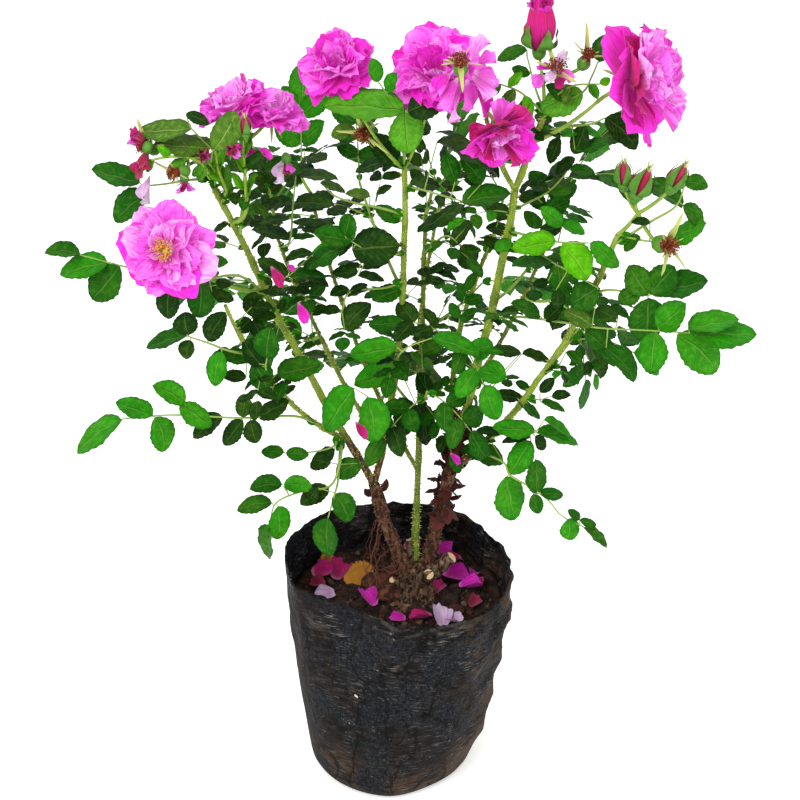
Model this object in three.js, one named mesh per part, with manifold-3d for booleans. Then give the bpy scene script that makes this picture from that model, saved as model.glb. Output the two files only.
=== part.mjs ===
// A young rose bush in a soft nursery grow bag: bag, soil, root crown, canes and masses of
// compound leaves with the blossom, buds and hips that they carry.
// Millimetres, +Z up, X to the right and Y to the back seen from the front. The origin lies on
// the bag's flat underside, below the middle of its rim.
import * as THREE from 'three';
import { ConvexGeometry } from 'three/addons/geometries/ConvexGeometry.js';
import { mergeVertices } from 'three/addons/utils/BufferGeometryUtils.js';
import Module from 'manifold-3d';

// Driving dimensions.
const GAP = 0.3; // air between two neighbouring solids
const BAG_HEIGHT = 184;
const BAG_WALL = 2;
const BAG_FLOOR = 3;
const BAG_FOOT_RADIUS = 67;
const BAG_FOOT_SHIFT = -4; // the foot sits a little to the left under the rim
const BAG_RIM_RADII = [87, 85, 89, 86, 87, 89, 93, 91, 80, 91, 99, 93]; // every 30 degrees from +X
const BAG_RIM_TILT = 6; // the rim rises by this at the back left and drops at the front right
const BAG_RIM_HIGH_SIDE = 135; // degrees
const BAG_SIDES = 22;
const WALL_LEVELS = [0, 9, 32, 70, 110, 150, BAG_HEIGHT]; // heights at which the wall bends
const SOIL_TOP = 150;
const SOIL_FLAT_RADIUS = 40; // level ground round the root crown
const SOIL_EDGE_RADIUS = 76; // level again from here to the bag
const SOIL_MOUND = 4; // the lumps of soil outside it
const CROWN_FLARE = 24;
const CROWN_TOP = 183;
const CROWN_CENTRE = [12, -8];
const CROWN_SIDES = 12;
const CROWN_LOBE = 0.14; // the flare swells and shrinks by this share three times round
const STUBS = [ // pruned ends of old canes
  { from: [16, -8, 166], to: [31, -34, 186], radii: [8.5, 6.5] },
  { from: [15, -4, 165], to: [46, -6, 190], radii: [8, 6.5] },
];
const LIMB_SIDES = 6;
const LIMB_STEPS = 4;
const TWIG_SIDES = 3;
const STEM_STEPS = 2;
const RIB_STEPS = 1;
const STEM_RADII = [2, 1.5]; // stem of a mass, at its bough and at its end
const RIB_RADII = [1.4, 0.9]; // rib of a compound leaf
const PEDICEL_RADII = [1.5, 1.2]; // stalk of a bloom, bud or hip
const STEM_SAG = 0.06; // share of its length by which a stem's middle hangs below the straight line
const RIB_ARCH = 0.1; // a leaf's rib arches up by this share of its length
const LONG_LEAF = 96; // a leaf with a longer reach has three pairs of leaflets, others have two
const FIRST_PAIR = { 2: 0.4, 3: 0.3 }; // place of the first pair of leaflets along the rib
const LAST_PAIR = 0.78;
const PAIR_STAGGER = 0.02; // the two leaflets of a pair leave the rib this far apart
const PAIR_ANGLE = 58; // degrees between a leaflet of a pair and the rib
const LEAFLET_SHARE = { 2: 0.36, 3: 0.3 }; // length of a leaflet, as a share of the leaf's reach
const LEAFLET_WIDTH = 0.6; // share of its length
const LEAFLET_CUP = 0.13; // the edges rise above the midrib by this share of the length
const LEAFLET_ROOT = 0.3; // a leaflet starts this far past the rib's axis
const LEAF_CLEARANCE = 0.45;
const FIRST_LEAF = 0.45; // share of a stem's length below which it bears no leaf
const BACK_OF_BUSH = 60; // past this, leaves look to the back
const COLOURS = {
  bag: 0x1b1b1c, soil: 0x3a2a20, bark: 0x6a4a34, cane: 0x7f8f3c, leaf: 0x2f7a2c,
};

// The canes, each from its parent (at = share of the parent's length) to a tip. bow moves the
// middle of the limb off the straight line, radii are those at the foot and at the tip. A ripe
// cane has brown bark, the others are green.
const LIMBS = [
  { name: 'cane_left', ripe: true, from: [8, -8, 166], to: [-20, 0, 250], bow: [-1.5, 0, 0],
    radii: [6.6, 4.9] },
  { name: 'cane_right', ripe: true, from: [17, -4, 163], to: [42, 5, 281], bow: [2, 5, 0], radii: [6.8, 5] },
  { name: 'cane_middle', from: [13, 1, 166], to: [19, 40, 454], bow: [0, 4, 0], radii: [2.9, 2] },
  { name: 'cane_back', from: [10, 2, 166], to: [30, 120, 430], bow: [-8, -10, 10], radii: [3.4, 2] },
  { name: 'cane_left_tall', on: 'cane_left', at: 1, to: [-137, -5, 503], bow: [-2, -3, -2],
    radii: [3.9, 2.8] },
  { name: 'cane_centre', on: 'cane_left', at: 1, to: [3, 0, 501], bow: [9, 4, 0], radii: [3.5, 2.6] },
  { name: 'cane_left_low', on: 'cane_left_tall', at: 0.16, to: [-121, -60, 421], bow: [-6, -4, -12],
    radii: [2.7, 1.7] },
  { name: 'cane_thin', on: 'cane_centre', at: 0.12, to: [-92, 38, 440], bow: [-8, 4, 4], radii: [2.3, 1.6] },
  { name: 'cane_right_main', on: 'cane_right', at: 1, to: [80, -20, 491], bow: [3, -6, 0],
    radii: [4.4, 3.6] },
  { name: 'cane_right_inner', on: 'cane_right', at: 1, to: [69, 40, 435], bow: [-12, 6, -6],
    radii: [3.2, 2] },
  { name: 'cane_right_low', on: 'cane_right', at: 0.8, to: [150, -45, 467], bow: [8, -3, -14],
    radii: [3.6, 2.4] },
  { name: 'shoot_right_top', on: 'cane_right_main', at: 1, to: [99, -20, 546], bow: [1, 0, 2],
    radii: [3, 2.4] },
  { name: 'shoot_pink', on: 'cane_right_main', at: 1, to: [58, -38, 546], bow: [-3, 0, 2],
    radii: [2.3, 1.7] },
  { name: 'cane_back_left', on: 'cane_middle', at: 0.3, to: [-70, 110, 450], bow: [-8, 8, -10],
    radii: [2.4, 1.7] },
  { name: 'cane_back_right', on: 'cane_right_inner', at: 0.2, to: [122, 96, 440], bow: [8, 6, -10],
    radii: [2.4, 1.7] },
];

// What a mass carries besides leaves: its middle, the way it faces, and its radius.
const bloom = (at, face, radius) => ({ kind: 'bloom', at, face, radius });
const bud = (at, face, radius) => ({ kind: 'bud', at, face, radius });
const hip = (at, face, radius) => ({ kind: 'hip', at, face, radius });

// The masses of foliage. Each has one stem, from its cane to tip. leaves holds the compound
// leaves as [clock, reach]: clock is the heading seen from the front, in degrees from +X towards
// +Z, and reach the span from the stem to the leaf's far tip. lean tips all of them to the back.
const MASSES = [
  { name: 'leaves_bloom_left', on: 'cane_left_tall', at: 0.64, tip: [-150, -72, 458], lean: -12,
    leaves: [[178, 112], [128, 74]],
    heads: [bloom([-154, -93, 474], [-0.1, -0.93, 0.35], 34)] },
  { name: 'leaves_top_left', on: 'cane_left_tall', at: 1, tip: [-154, -16, 526], lean: -6,
    leaves: [[190, 88], [118, 62]],
    heads: [bud([-174, -34, 528], [-0.7, -0.5, 0.2], 8), hip([-147, -42, 511], [0, -0.8, -0.3], 6)] },
  { name: 'leaves_twin_blooms', on: 'cane_left_tall', at: 0.8, tip: [-106, -10, 524], lean: 8,
    leaves: [[8, 82], [240, 68]],
    heads: [bloom([-116, -12, 552], [-0.35, -0.2, 0.9], 27), bloom([-78, -4, 541], [0.3, -0.15, 0.93], 23)] },
  { name: 'leaves_left_low_tip', on: 'cane_left_low', at: 1, tip: [-142, -76, 434], lean: -8,
    leaves: [[200, 80], [252, 78], [300, 70]], heads: [] },
  { name: 'leaves_left_low_upper', on: 'cane_left_low', at: 0.6, tip: [-112, -74, 376], lean: -10,
    leaves: [[178, 82], [268, 72]], heads: [] },
  { name: 'leaves_low_left_spray', on: 'cane_left_low', at: 0.3, tip: [-122, -62, 338], lean: -8,
    leaves: [[184, 126], [232, 72]], heads: [] },
  { name: 'leaves_drooping_left', on: 'cane_left_low', at: 0.12, tip: [-56, -44, 262], lean: -8,
    leaves: [[166, 84], [212, 82], [292, 66]], heads: [] },
  { name: 'leaves_front_centre', on: 'cane_left_tall', at: 0.38, tip: [-50, -56, 366], lean: -18,
    leaves: [[338, 84], [286, 76]], heads: [] },
  { name: 'leaves_left_back', on: 'cane_left_tall', at: 0.5, tip: [-112, 48, 398], lean: 20,
    leaves: [[200, 88]], heads: [] },
  { name: 'leaves_thin_tip', on: 'cane_thin', at: 1, tip: [-96, 48, 470], lean: 12,
    leaves: [[50, 78], [150, 88]], heads: [] },
  { name: 'leaves_thin_low', on: 'cane_thin', at: 0.5, tip: [-76, 54, 350], lean: 16,
    leaves: [[196, 84]], heads: [] },
  { name: 'leaves_centre_top_left', on: 'cane_centre', at: 1, tip: [-24, -34, 544], lean: -12,
    leaves: [[12, 74], [200, 88]],
    heads: [bloom([-43, -20, 580], [-0.25, -0.62, 0.72], 26)] },
  { name: 'leaves_centre_top_right', on: 'cane_centre', at: 1, tip: [18, -22, 544], lean: -4,
    leaves: [[320, 76], [268, 78]],
    heads: [bloom([25, -32, 579], [-0.1, -0.7, 0.68], 33), hip([51, -36, 577], [0.3, -0.3, 0.8], 6)] },
  { name: 'leaves_centre_back', on: 'cane_centre', at: 0.62, tip: [-30, 50, 476], lean: 22,
    leaves: [[170, 86], [90, 74]], heads: [] },
  { name: 'leaves_centre_front', on: 'cane_centre', at: 0.46, tip: [-10, -48, 412], lean: -16,
    leaves: [[205, 80], [322, 76]], heads: [] },
  { name: 'leaves_centre_upper', on: 'cane_centre', at: 0.8, tip: [-30, -38, 480], lean: -8,
    leaves: [[216, 82], [290, 70]], heads: [] },
  { name: 'leaves_middle_tip', on: 'cane_middle', at: 1, tip: [26, 64, 476], lean: 12,
    leaves: [[30, 80], [118, 76]], heads: [] },
  { name: 'leaves_middle_low', on: 'cane_middle', at: 0.5, tip: [20, -26, 340], lean: -10,
    leaves: [[222, 70], [318, 72]], heads: [] },
  { name: 'leaves_inner_tip', on: 'cane_right_inner', at: 1, tip: [78, 64, 460], lean: 14,
    leaves: [[30, 80], [130, 74]], heads: [] },
  { name: 'leaves_inner_low', on: 'cane_right_inner', at: 0.5, tip: [38, -30, 388], lean: -14,
    leaves: [[158, 66], [300, 72]], heads: [] },
  { name: 'leaves_right_cross', on: 'cane_right_main', at: 0.4, tip: [98, -44, 404], lean: -6,
    leaves: [[352, 96]], heads: [] },
  { name: 'leaves_right_front', on: 'cane_right_main', at: 0.76, tip: [98, -58, 462], lean: -16,
    leaves: [[348, 72], [48, 76], [300, 72]], heads: [] },
  { name: 'leaves_right_back', on: 'cane_right_main', at: 0.6, tip: [102, 44, 420], lean: 20,
    leaves: [[348, 86], [70, 78]], heads: [] },
  { name: 'leaves_right_side', on: 'cane_right_main', at: 0.92, tip: [116, 14, 512], lean: 10,
    leaves: [[336, 82], [22, 76]], heads: [] },
  { name: 'leaves_bloom_right', on: 'shoot_right_top', at: 0.6, tip: [132, -33, 556], lean: 4,
    leaves: [[338, 74]],
    heads: [bloom([162, -42, 573], [0.86, -0.42, 0.2], 38)] },
  { name: 'leaves_bud_top', on: 'shoot_right_top', at: 1, tip: [96, -28, 570], lean: -10,
    leaves: [[176, 68], [322, 66]],
    heads: [bud([93, -26, 606], [0.02, -0.1, 1], 10), bud([103, -46, 584], [0.1, -0.6, 0.8], 7),
      hip([122, -32, 582], [0.3, -0.3, 0.8], 6)] },
  { name: 'leaves_pink_hanging', on: 'shoot_pink', at: 1, tip: [60, -42, 566], lean: -6,
    leaves: [[262, 72]],
    heads: [bloom([68, -52, 538], [0.3, -0.75, -0.45], 24)] },
  { name: 'leaves_low_right_tip', on: 'cane_right_low', at: 1, tip: [162, -50, 484], lean: -6,
    leaves: [[2, 74], [316, 72], [196, 68]],
    heads: [bud([160, -52, 506], [-0.1, -0.1, 1], 8.5), bud([186, -52, 506], [0.3, -0.1, 0.95], 7.5),
      hip([177, -62, 466], [0.4, -0.8, 0.2], 7)] },
  { name: 'leaves_big_right', on: 'cane_right_low', at: 0.78, tip: [154, -64, 424], lean: -8,
    leaves: [[352, 112], [286, 78]], heads: [] },
  { name: 'leaves_right_low_mid', on: 'cane_right_low', at: 0.56, tip: [132, 4, 378], lean: 8,
    leaves: [[340, 86], [276, 70]], heads: [] },
  { name: 'leaves_right_small', on: 'cane_right_low', at: 0.36, tip: [100, -42, 336], lean: -12,
    leaves: [[330, 78]], heads: [] },
  { name: 'leaves_low_right_spray', on: 'cane_right_low', at: 0.16, tip: [84, -48, 288], lean: -8,
    leaves: [[323, 108], [0, 74]], heads: [] },
  { name: 'leaves_back_tip', on: 'cane_back', at: 1, tip: [36, 142, 452], lean: 26,
    leaves: [[80, 90], [160, 88], [10, 86]], heads: [] },
  { name: 'leaves_back_mid', on: 'cane_back', at: 0.66, tip: [66, 116, 372], lean: 24,
    leaves: [[348, 90]], heads: [] },
  { name: 'leaves_back_low', on: 'cane_back', at: 0.45, tip: [-24, 104, 324], lean: 24,
    leaves: [[190, 90], [330, 78]], heads: [] },
  { name: 'leaves_back_left_tip', on: 'cane_back_left', at: 1, tip: [-82, 130, 466], lean: 18,
    leaves: [[90, 90], [165, 92], [225, 86]], heads: [] },
  { name: 'leaves_back_left_mid', on: 'cane_back_left', at: 0.6, tip: [-92, 108, 374], lean: 16,
    leaves: [[182, 92], [250, 80]], heads: [] },
  { name: 'leaves_back_right_tip', on: 'cane_back_right', at: 1, tip: [134, 110, 462], lean: 16,
    leaves: [[50, 90], [350, 92]], heads: [] },
  { name: 'leaves_back_right_mid', on: 'cane_back_right', at: 0.6, tip: [124, 96, 366], lean: 18,
    leaves: [[300, 90]], heads: [] },
];

const wasm = await Module();
wasm.setup();
const part = new THREE.Group();
const RADIAN = Math.PI / 180;
const vector = (xyz) => new THREE.Vector3(...xyz);

// The Park-Miller rule: a run of numbers from 0 to 1 that is the same each time.
function dice(seed) {
  const modulus = 2147483647;
  let state = (seed * 7919 + 104729) % modulus;
  const roll = () => {
    state = (state * 48271) % modulus;
    return state / modulus;
  };
  roll();
  roll();
  return roll;
}

const spread = (roll, width) => (roll() * 2 - 1) * width;

// Joining and cutting.

function solidOf(geometry) {
  const bare = geometry.clone().deleteAttribute('normal').deleteAttribute('uv');
  const merged = mergeVertices(bare, 1e-4);
  return new wasm.Manifold(new wasm.Mesh({
    numProp: 3,
    vertProperties: new Float32Array(merged.attributes.position.array),
    triVerts: new Uint32Array(merged.index.array),
  }));
}

function geometryOf(solid) {
  const mesh = solid.getMesh();
  const geometry = new THREE.BufferGeometry();
  geometry.setAttribute('position', new THREE.BufferAttribute(mesh.vertProperties, 3));
  geometry.setIndex(new THREE.BufferAttribute(mesh.triVerts, 1));
  return geometry;
}

const largest = (solid) => solid.decompose().sort((a, b) => b.volume() - a.volume())[0];

const join = (solids) => largest(solids.reduce((sum, next) => sum.add(next)));

function boxesMeet(one, two) {
  const a = one.boundingBox();
  const b = two.boundingBox();
  return [0, 1, 2].every((i) => a.min[i] < b.max[i] && b.min[i] < a.max[i]);
}

const isClear = (guard, solids) =>
  solids.every((solid) => !boxesMeet(guard, solid) || guard.intersect(solid).isEmpty());

function addPart(name, solid, colour, roughness) {
  const mesh = new THREE.Mesh(geometryOf(solid),
    new THREE.MeshStandardMaterial({ color: colour, roughness, metalness: 0 }));
  mesh.name = name;
  part.add(mesh);
}

// Tapered limbs.

function bentCurve(from, to, bow) {
  const control = from.clone().add(to).multiplyScalar(0.5).addScaledVector(bow, 2);
  return new THREE.QuadraticBezierCurve3(from, control, to);
}

// A closed tapered tube along a curve. grow makes it fatter and longer by that much.
function taperedTube(curve, radii, sides, steps, grow = 0) {
  const tube = new THREE.CylinderGeometry(radii[1] + grow, radii[0] + grow, 1, sides, steps);
  const place = tube.attributes.position;
  for (let i = 0; i < place.count; i += 1) {
    const along = THREE.MathUtils.clamp(place.getY(i) + 0.5, 0, 1);
    const ahead = curve.getTangent(along);
    const across = new THREE.Vector3(0.31, 0.93, 0.17).cross(ahead).normalize();
    const other = across.clone().cross(ahead);
    const point = curve.getPoint(along)
      .addScaledVector(across, place.getX(i))
      .addScaledVector(other, place.getZ(i));
    if (along === 0) point.addScaledVector(ahead, -grow);
    if (along === 1) point.addScaledVector(ahead, grow);
    place.setXYZ(i, point.x, point.y, point.z);
  }
  return solidOf(tube);
}

// The point at a share of a tube's length, on the straight stretch between two of its steps.
function onTube(curve, steps, along) {
  const step = Math.min(Math.floor(along * steps), steps - 1);
  return curve.getPoint(step / steps).lerp(curve.getPoint((step + 1) / steps), along * steps - step);
}

// The bag and its soil share one map from a round pot to the sagging bag.

function rimRadius(angle) {
  const count = BAG_RIM_RADII.length;
  const place = ((angle / (Math.PI * 2)) * count + count) % count;
  const first = Math.floor(place);
  const ease = (1 - Math.cos((place - first) * Math.PI)) / 2;
  const radius = (i) => BAG_RIM_RADII[i % count];
  return radius(first) * (1 - ease) + radius(first + 1) * ease;
}

function sagLikeBag(geometry) {
  const place = geometry.attributes.position;
  for (let i = 0; i < place.count; i += 1) {
    const [x, height, z] = [place.getX(i), place.getY(i), place.getZ(i)];
    const angle = Math.atan2(-z, x);
    const share = height / BAG_HEIGHT;
    const toRim = THREE.MathUtils.smoothstep(share, 0, 1);
    const stretch = 1 + (rimRadius(angle) / BAG_RIM_RADII[0] - 1) * toRim;
    const aboveSoil = THREE.MathUtils.smoothstep(height, SOIL_TOP + SOIL_MOUND, BAG_HEIGHT);
    const outward = Math.hypot(x, z) / BAG_RIM_RADII[0];
    const tilt = BAG_RIM_TILT * Math.cos(angle - BAG_RIM_HIGH_SIDE * RADIAN) * aboveSoil * outward;
    place.setXYZ(i, x * stretch + BAG_FOOT_SHIFT * (1 - toRim), -z * stretch, height + tilt);
  }
  return geometry;
}

// The bag's half section: radius at a height, before the sag.
function bagRadius(height) {
  const rim = BAG_RIM_RADII[0];
  return BAG_FOOT_RADIUS + (rim - BAG_FOOT_RADIUS) * Math.min(height / BAG_HEIGHT, 1) ** 0.62;
}

// What fills the bag from a floor up to a top, inset from its outside. lid goes from the wall to
// the middle of the top, as [radius, height].
function bagFilling(inset, floor, top, lid) {
  const levels = [floor, ...WALL_LEVELS.filter((z) => z > floor && z < top), top];
  const wall = levels.map((z) => [bagRadius(z) - inset, z]);
  const profile = [[0, floor], ...wall, ...lid].map(([r, z]) => new THREE.Vector2(r, z));
  return sagLikeBag(new THREE.LatheGeometry(profile, BAG_SIDES));
}

function buildBag() {
  const outside = solidOf(bagFilling(0, 0, BAG_HEIGHT, [[0, BAG_HEIGHT]]));
  const above = BAG_HEIGHT + BAG_RIM_TILT;
  return outside.subtract(solidOf(bagFilling(BAG_WALL, BAG_FLOOR, above, [[0, above]])));
}

function buildSoil() {
  const lid = [SOIL_EDGE_RADIUS - 4, SOIL_FLAT_RADIUS + 12, SOIL_FLAT_RADIUS, 0].map((r) => [r, SOIL_TOP]);
  const soil = bagFilling(BAG_WALL + GAP, BAG_FLOOR + GAP, SOIL_TOP, lid);
  const place = soil.attributes.position;
  for (let i = 0; i < place.count; i += 1) {
    const [x, y, z] = [place.getX(i), place.getY(i), place.getZ(i)];
    const radius = Math.hypot(x, y);
    const isMound = radius > SOIL_FLAT_RADIUS + 5 && radius < SOIL_EDGE_RADIUS && z > SOIL_TOP - 1;
    if (isMound) place.setZ(i, z + SOIL_MOUND * Math.sin(x * 0.13 + 1) * Math.cos(y * 0.11));
  }
  return solidOf(soil);
}

// The root crown: a flared foot with lobes, cut flat at soil level, and two pruned stubs. grow
// makes it fatter by that much.
function buildRootCrown(grow = 0) {
  const foot = SOIL_TOP + GAP;
  const rings = [[CROWN_FLARE, 0], [CROWN_FLARE - 2.5, 4], [16, 12], [14.5, 22], [11, CROWN_TOP - foot]];
  const profile = [new THREE.Vector2(0, 0)];
  for (const [radius, height] of rings) {
    profile.push(new THREE.Vector2(radius + grow, height + (height ? grow : 0)));
  }
  profile.push(new THREE.Vector2(0, CROWN_TOP - foot + grow));
  const crown = new THREE.LatheGeometry(profile, CROWN_SIDES);
  const place = crown.attributes.position;
  for (let i = 0; i < place.count; i += 1) {
    const [x, height, z] = [place.getX(i), place.getY(i), place.getZ(i)];
    const angle = Math.atan2(-z, x);
    const lobe = 1 + CROWN_LOBE * Math.cos(3 * angle + 0.6) * (1 - height / (CROWN_TOP - foot));
    place.setXYZ(i, CROWN_CENTRE[0] + x * lobe, CROWN_CENTRE[1] - z * lobe, foot + height);
  }
  const stubs = STUBS.map(({ from, to, radii }) =>
    taperedTube(bentCurve(vector(from), vector(to), new THREE.Vector3()), radii, LIMB_SIDES, 1, grow));
  return join([solidOf(crown), ...stubs]);
}

// Blossom, buds and hips: shells of rings turned about the way they face.

// rings are [radius, distance along the face] from the stalk to the middle of the front.
function turnedHead(head, rings, sides, scallop, grow) {
  const size = head.radius + grow;
  const profile = rings.map(([r, z]) => new THREE.Vector2(r * size, z * size));
  const shell = new THREE.LatheGeometry(profile, sides);
  const place = shell.attributes.position;
  for (let i = 0; i < place.count; i += 1) {
    const angle = Math.atan2(place.getZ(i), place.getX(i));
    const wave = 1 + scallop * Math.cos(angle * (sides / 2));
    place.setXYZ(i, place.getX(i) * wave, place.getY(i), place.getZ(i) * wave);
  }
  const face = vector(head.face).normalize();
  const turn = new THREE.Quaternion().setFromUnitVectors(new THREE.Vector3(0, 1, 0), face);
  const middle = vector(head.at);
  shell.applyQuaternion(turn).translate(middle.x, middle.y, middle.z);
  return solidOf(shell);
}

const HEAD_RINGS = {
  bloom: { rings: [[0, -0.5], [0.3, -0.42], [1, 0.05], [0.62, 0.34], [0, 0.22]], sides: 10, scallop: 0.07 },
  bud: { rings: [[0, -1.7], [0.62, -1.1], [0.4, -0.6], [1, 0.3], [0, 1.7]], sides: 6, scallop: 0 },
  hip: { rings: [[0, -0.9], [0.95, -0.1], [0.6, 0.75], [0, 0.8]], sides: 6, scallop: 0 },
};

function buildHead(head, grow = 0) {
  const { rings, sides, scallop } = HEAD_RINGS[head.kind];
  return turnedHead(head, rings, sides, scallop, grow);
}

// A stalk from the stem's tip into the back of a head.
function buildPedicel(tip, head, grow = 0) {
  const back = HEAD_RINGS[head.kind].rings[0][1] * head.radius * 0.7;
  const face = vector(head.face).normalize();
  const end = vector(head.at).addScaledVector(face, back);
  const bow = face.clone().multiplyScalar(-tip.distanceTo(end) * 0.1);
  return taperedTube(bentCurve(tip.clone(), end, bow), PEDICEL_RADII, TWIG_SIDES, RIB_STEPS, grow);
}

// Leaves.

// A thin solid blade: base, tip and two points on each edge, with the edges above the midrib.
// guard makes it larger all round by that much.
function leafletSolid(root, ahead, normal, length, guard = 0) {
  const across = normal.clone().cross(ahead).normalize();
  const half = (length * LEAFLET_WIDTH) / 2;
  const corner = (along, side, rise) => root.clone()
    .addScaledVector(ahead, along * length + (along * 2 - 1) * guard)
    .addScaledVector(across, side * (half + guard))
    .addScaledVector(normal, rise * length * LEAFLET_CUP);
  const blade = [corner(0, 0, 0), corner(1, 0, 0)];
  for (const side of [-1, 1]) blade.push(corner(0.34, side, 1), corner(0.72, side * 0.86, 0.8));
  if (!guard) return solidOf(new ConvexGeometry(blade));
  const swollen = blade.flatMap((point) =>
    [-guard, guard].map((shift) => point.clone().addScaledVector(normal, shift)));
  return solidOf(new ConvexGeometry(swollen));
}

// The way a leaf's blades look: up, out of the crown, and to the nearer of front and back.
function bladeNormal(point, frontness) {
  return new THREE.Vector3(point.x * 0.0016, -0.5 * frontness, 0.72).normalize();
}

// One compound leaf: an arching rib with pairs of leaflets and one at the end. Every piece comes
// with the guard that has to be clear of the neighbours.
function compoundLeaf(start, heading, reach, frontness, roll) {
  const pairs = reach > LONG_LEAF ? 3 : 2;
  const size = LEAFLET_SHARE[pairs] * reach;
  const length = reach - size * 1.05;
  const end = start.clone().addScaledVector(heading, length);
  const rib = bentCurve(start.clone(), end, new THREE.Vector3(0, 0, RIB_ARCH * length));
  const pieces = [{
    solid: taperedTube(rib, RIB_RADII, TWIG_SIDES, RIB_STEPS),
    guard: taperedTube(rib, RIB_RADII, TWIG_SIDES, RIB_STEPS, LEAF_CLEARANCE),
  }];
  const addLeaflet = (along, angle, scale) => {
    const ahead = rib.getTangent(along);
    const normal = bladeNormal(start, frontness);
    normal.x += spread(roll, 0.22);
    normal.y += spread(roll, 0.22);
    normal.addScaledVector(ahead, -normal.dot(ahead)).normalize();
    const side = normal.clone().cross(ahead);
    const way = ahead.clone().multiplyScalar(Math.cos(angle)).addScaledVector(side, Math.sin(angle));
    normal.addScaledVector(side, spread(roll, 0.25)).addScaledVector(way, -normal.dot(way)).normalize();
    const blade = size * scale * (0.92 + roll() * 0.16);
    const root = onTube(rib, RIB_STEPS, along).addScaledVector(way, -LEAFLET_ROOT);
    pieces.push({
      solid: leafletSolid(root, way, normal, blade),
      guard: leafletSolid(root, way, normal, blade, LEAF_CLEARANCE),
    });
  };
  for (let pair = 0; pair < pairs; pair += 1) {
    const along = THREE.MathUtils.lerp(FIRST_PAIR[pairs], LAST_PAIR, pair / (pairs - 1));
    const scale = 0.84 + 0.1 * pair;
    for (const hand of [-1, 1]) {
      const angle = hand * (PAIR_ANGLE + spread(roll, 8)) * RADIAN;
      addLeaflet(along + hand * PAIR_STAGGER, angle, scale);
    }
  }
  addLeaflet(1, 0, 1.05);
  return pieces;
}

// The canes, each cut clear of the ones before it.

const limbs = new Map(); // name -> curve
const obstacles = []; // crown, canes and stems, which a leaf may not touch
const cutters = []; // what stands already, fatter by the gap, to cut what comes next

function clearOf(solid, before) {
  const near = before.filter((cutter) => boxesMeet(solid, cutter));
  return largest(near.reduce((rest, cutter) => rest.subtract(cutter), solid));
}

function buildCane({ name, ripe, from, on, at, to, bow, radii }) {
  const start = on ? limbs.get(on).getPoint(at) : vector(from);
  const curve = bentCurve(start, vector(to), vector(bow));
  limbs.set(name, curve);
  const cane = clearOf(taperedTube(curve, radii, LIMB_SIDES, LIMB_STEPS), cutters);
  cutters.push(taperedTube(curve, radii, LIMB_SIDES, LIMB_STEPS, GAP));
  obstacles.push(cane);
  addPart(name, cane, ripe ? COLOURS.bark : COLOURS.cane, 0.7);
}

// A mass grows in two rounds: its stem and heads first, then the leaves that find room.

function startMass({ on, at, tip, heads }) {
  const start = limbs.get(on).getPoint(at);
  const end = vector(tip);
  const sag = new THREE.Vector3(0, 0, -STEM_SAG * start.distanceTo(end));
  const stem = bentCurve(start, end, sag);
  const pieces = [clearOf(taperedTube(stem, STEM_RADII, TWIG_SIDES, STEM_STEPS), cutters)];
  const own = [taperedTube(stem, STEM_RADII, TWIG_SIDES, STEM_STEPS, GAP)];
  for (const head of heads) {
    pieces.push(clearOf(buildPedicel(end, head), cutters), clearOf(buildHead(head), cutters));
    own.push(buildPedicel(end, head, GAP), buildHead(head, GAP * 2));
  }
  cutters.push(...own);
  obstacles.push(pieces[0]);
  return { stem, pieces };
}

function growLeaves(mass, { lean, leaves }, seed, neighbours) {
  leaves.forEach(([clock, reach], index) => {
    const roll = dice(seed * 100 + index);
    const along = FIRST_LEAF + ((1 - FIRST_LEAF) * (index + 1)) / leaves.length;
    const turn = (clock + spread(roll, 6)) * RADIAN;
    const tip = (lean + spread(roll, 16)) * RADIAN;
    const heading = new THREE.Vector3(
      Math.cos(turn) * Math.cos(tip), Math.sin(tip), Math.sin(turn) * Math.cos(tip));
    const start = onTube(mass.stem, STEM_STEPS, along);
    const isBack = start.y > BACK_OF_BUSH;
    const frontness = isBack ? -1 : THREE.MathUtils.clamp(0.6 - start.y / 50, 0.2, 1);
    const [rib, ...blades] = compoundLeaf(start, heading, reach, frontness, roll);
    if (!isClear(rib.guard, neighbours)) return;
    const free = blades.filter((blade) => isClear(blade.guard, neighbours));
    mass.pieces.push(rib.solid, ...free.map((blade) => blade.solid));
  });
}

addPart('grow_bag', buildBag(), COLOURS.bag, 0.75);
addPart('soil', buildSoil(), COLOURS.soil, 1);
const crown = buildRootCrown();
addPart('root_crown', crown, COLOURS.bark, 0.9);
obstacles.push(crown);
cutters.push(buildRootCrown(GAP));
LIMBS.forEach(buildCane);

const masses = MASSES.map(startMass);
masses.forEach((mass, index) => {
  const others = masses.filter((other) => other !== mass).flatMap((other) => other.pieces.slice(1));
  const neighbours = obstacles.filter((solid) => solid !== mass.pieces[0]).concat(others);
  growLeaves(mass, MASSES[index], index, neighbours);
  addPart(MASSES[index].name, join(mass.pieces), COLOURS.leaf, 0.6);
});

export default part;
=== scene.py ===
"""The looks of a young rose bush in a soft nursery grow bag, built around its fixed solids.

Tables are in millimetres, X to the right, Y to the back and Z up, as in the solids. Meshes are in
metres. Every random choice comes from a seeded Dice, so each run gives the same bush.
"""

import math

import bmesh
import bpy
import numpy as np
from mathutils import Matrix, Vector, noise


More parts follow.
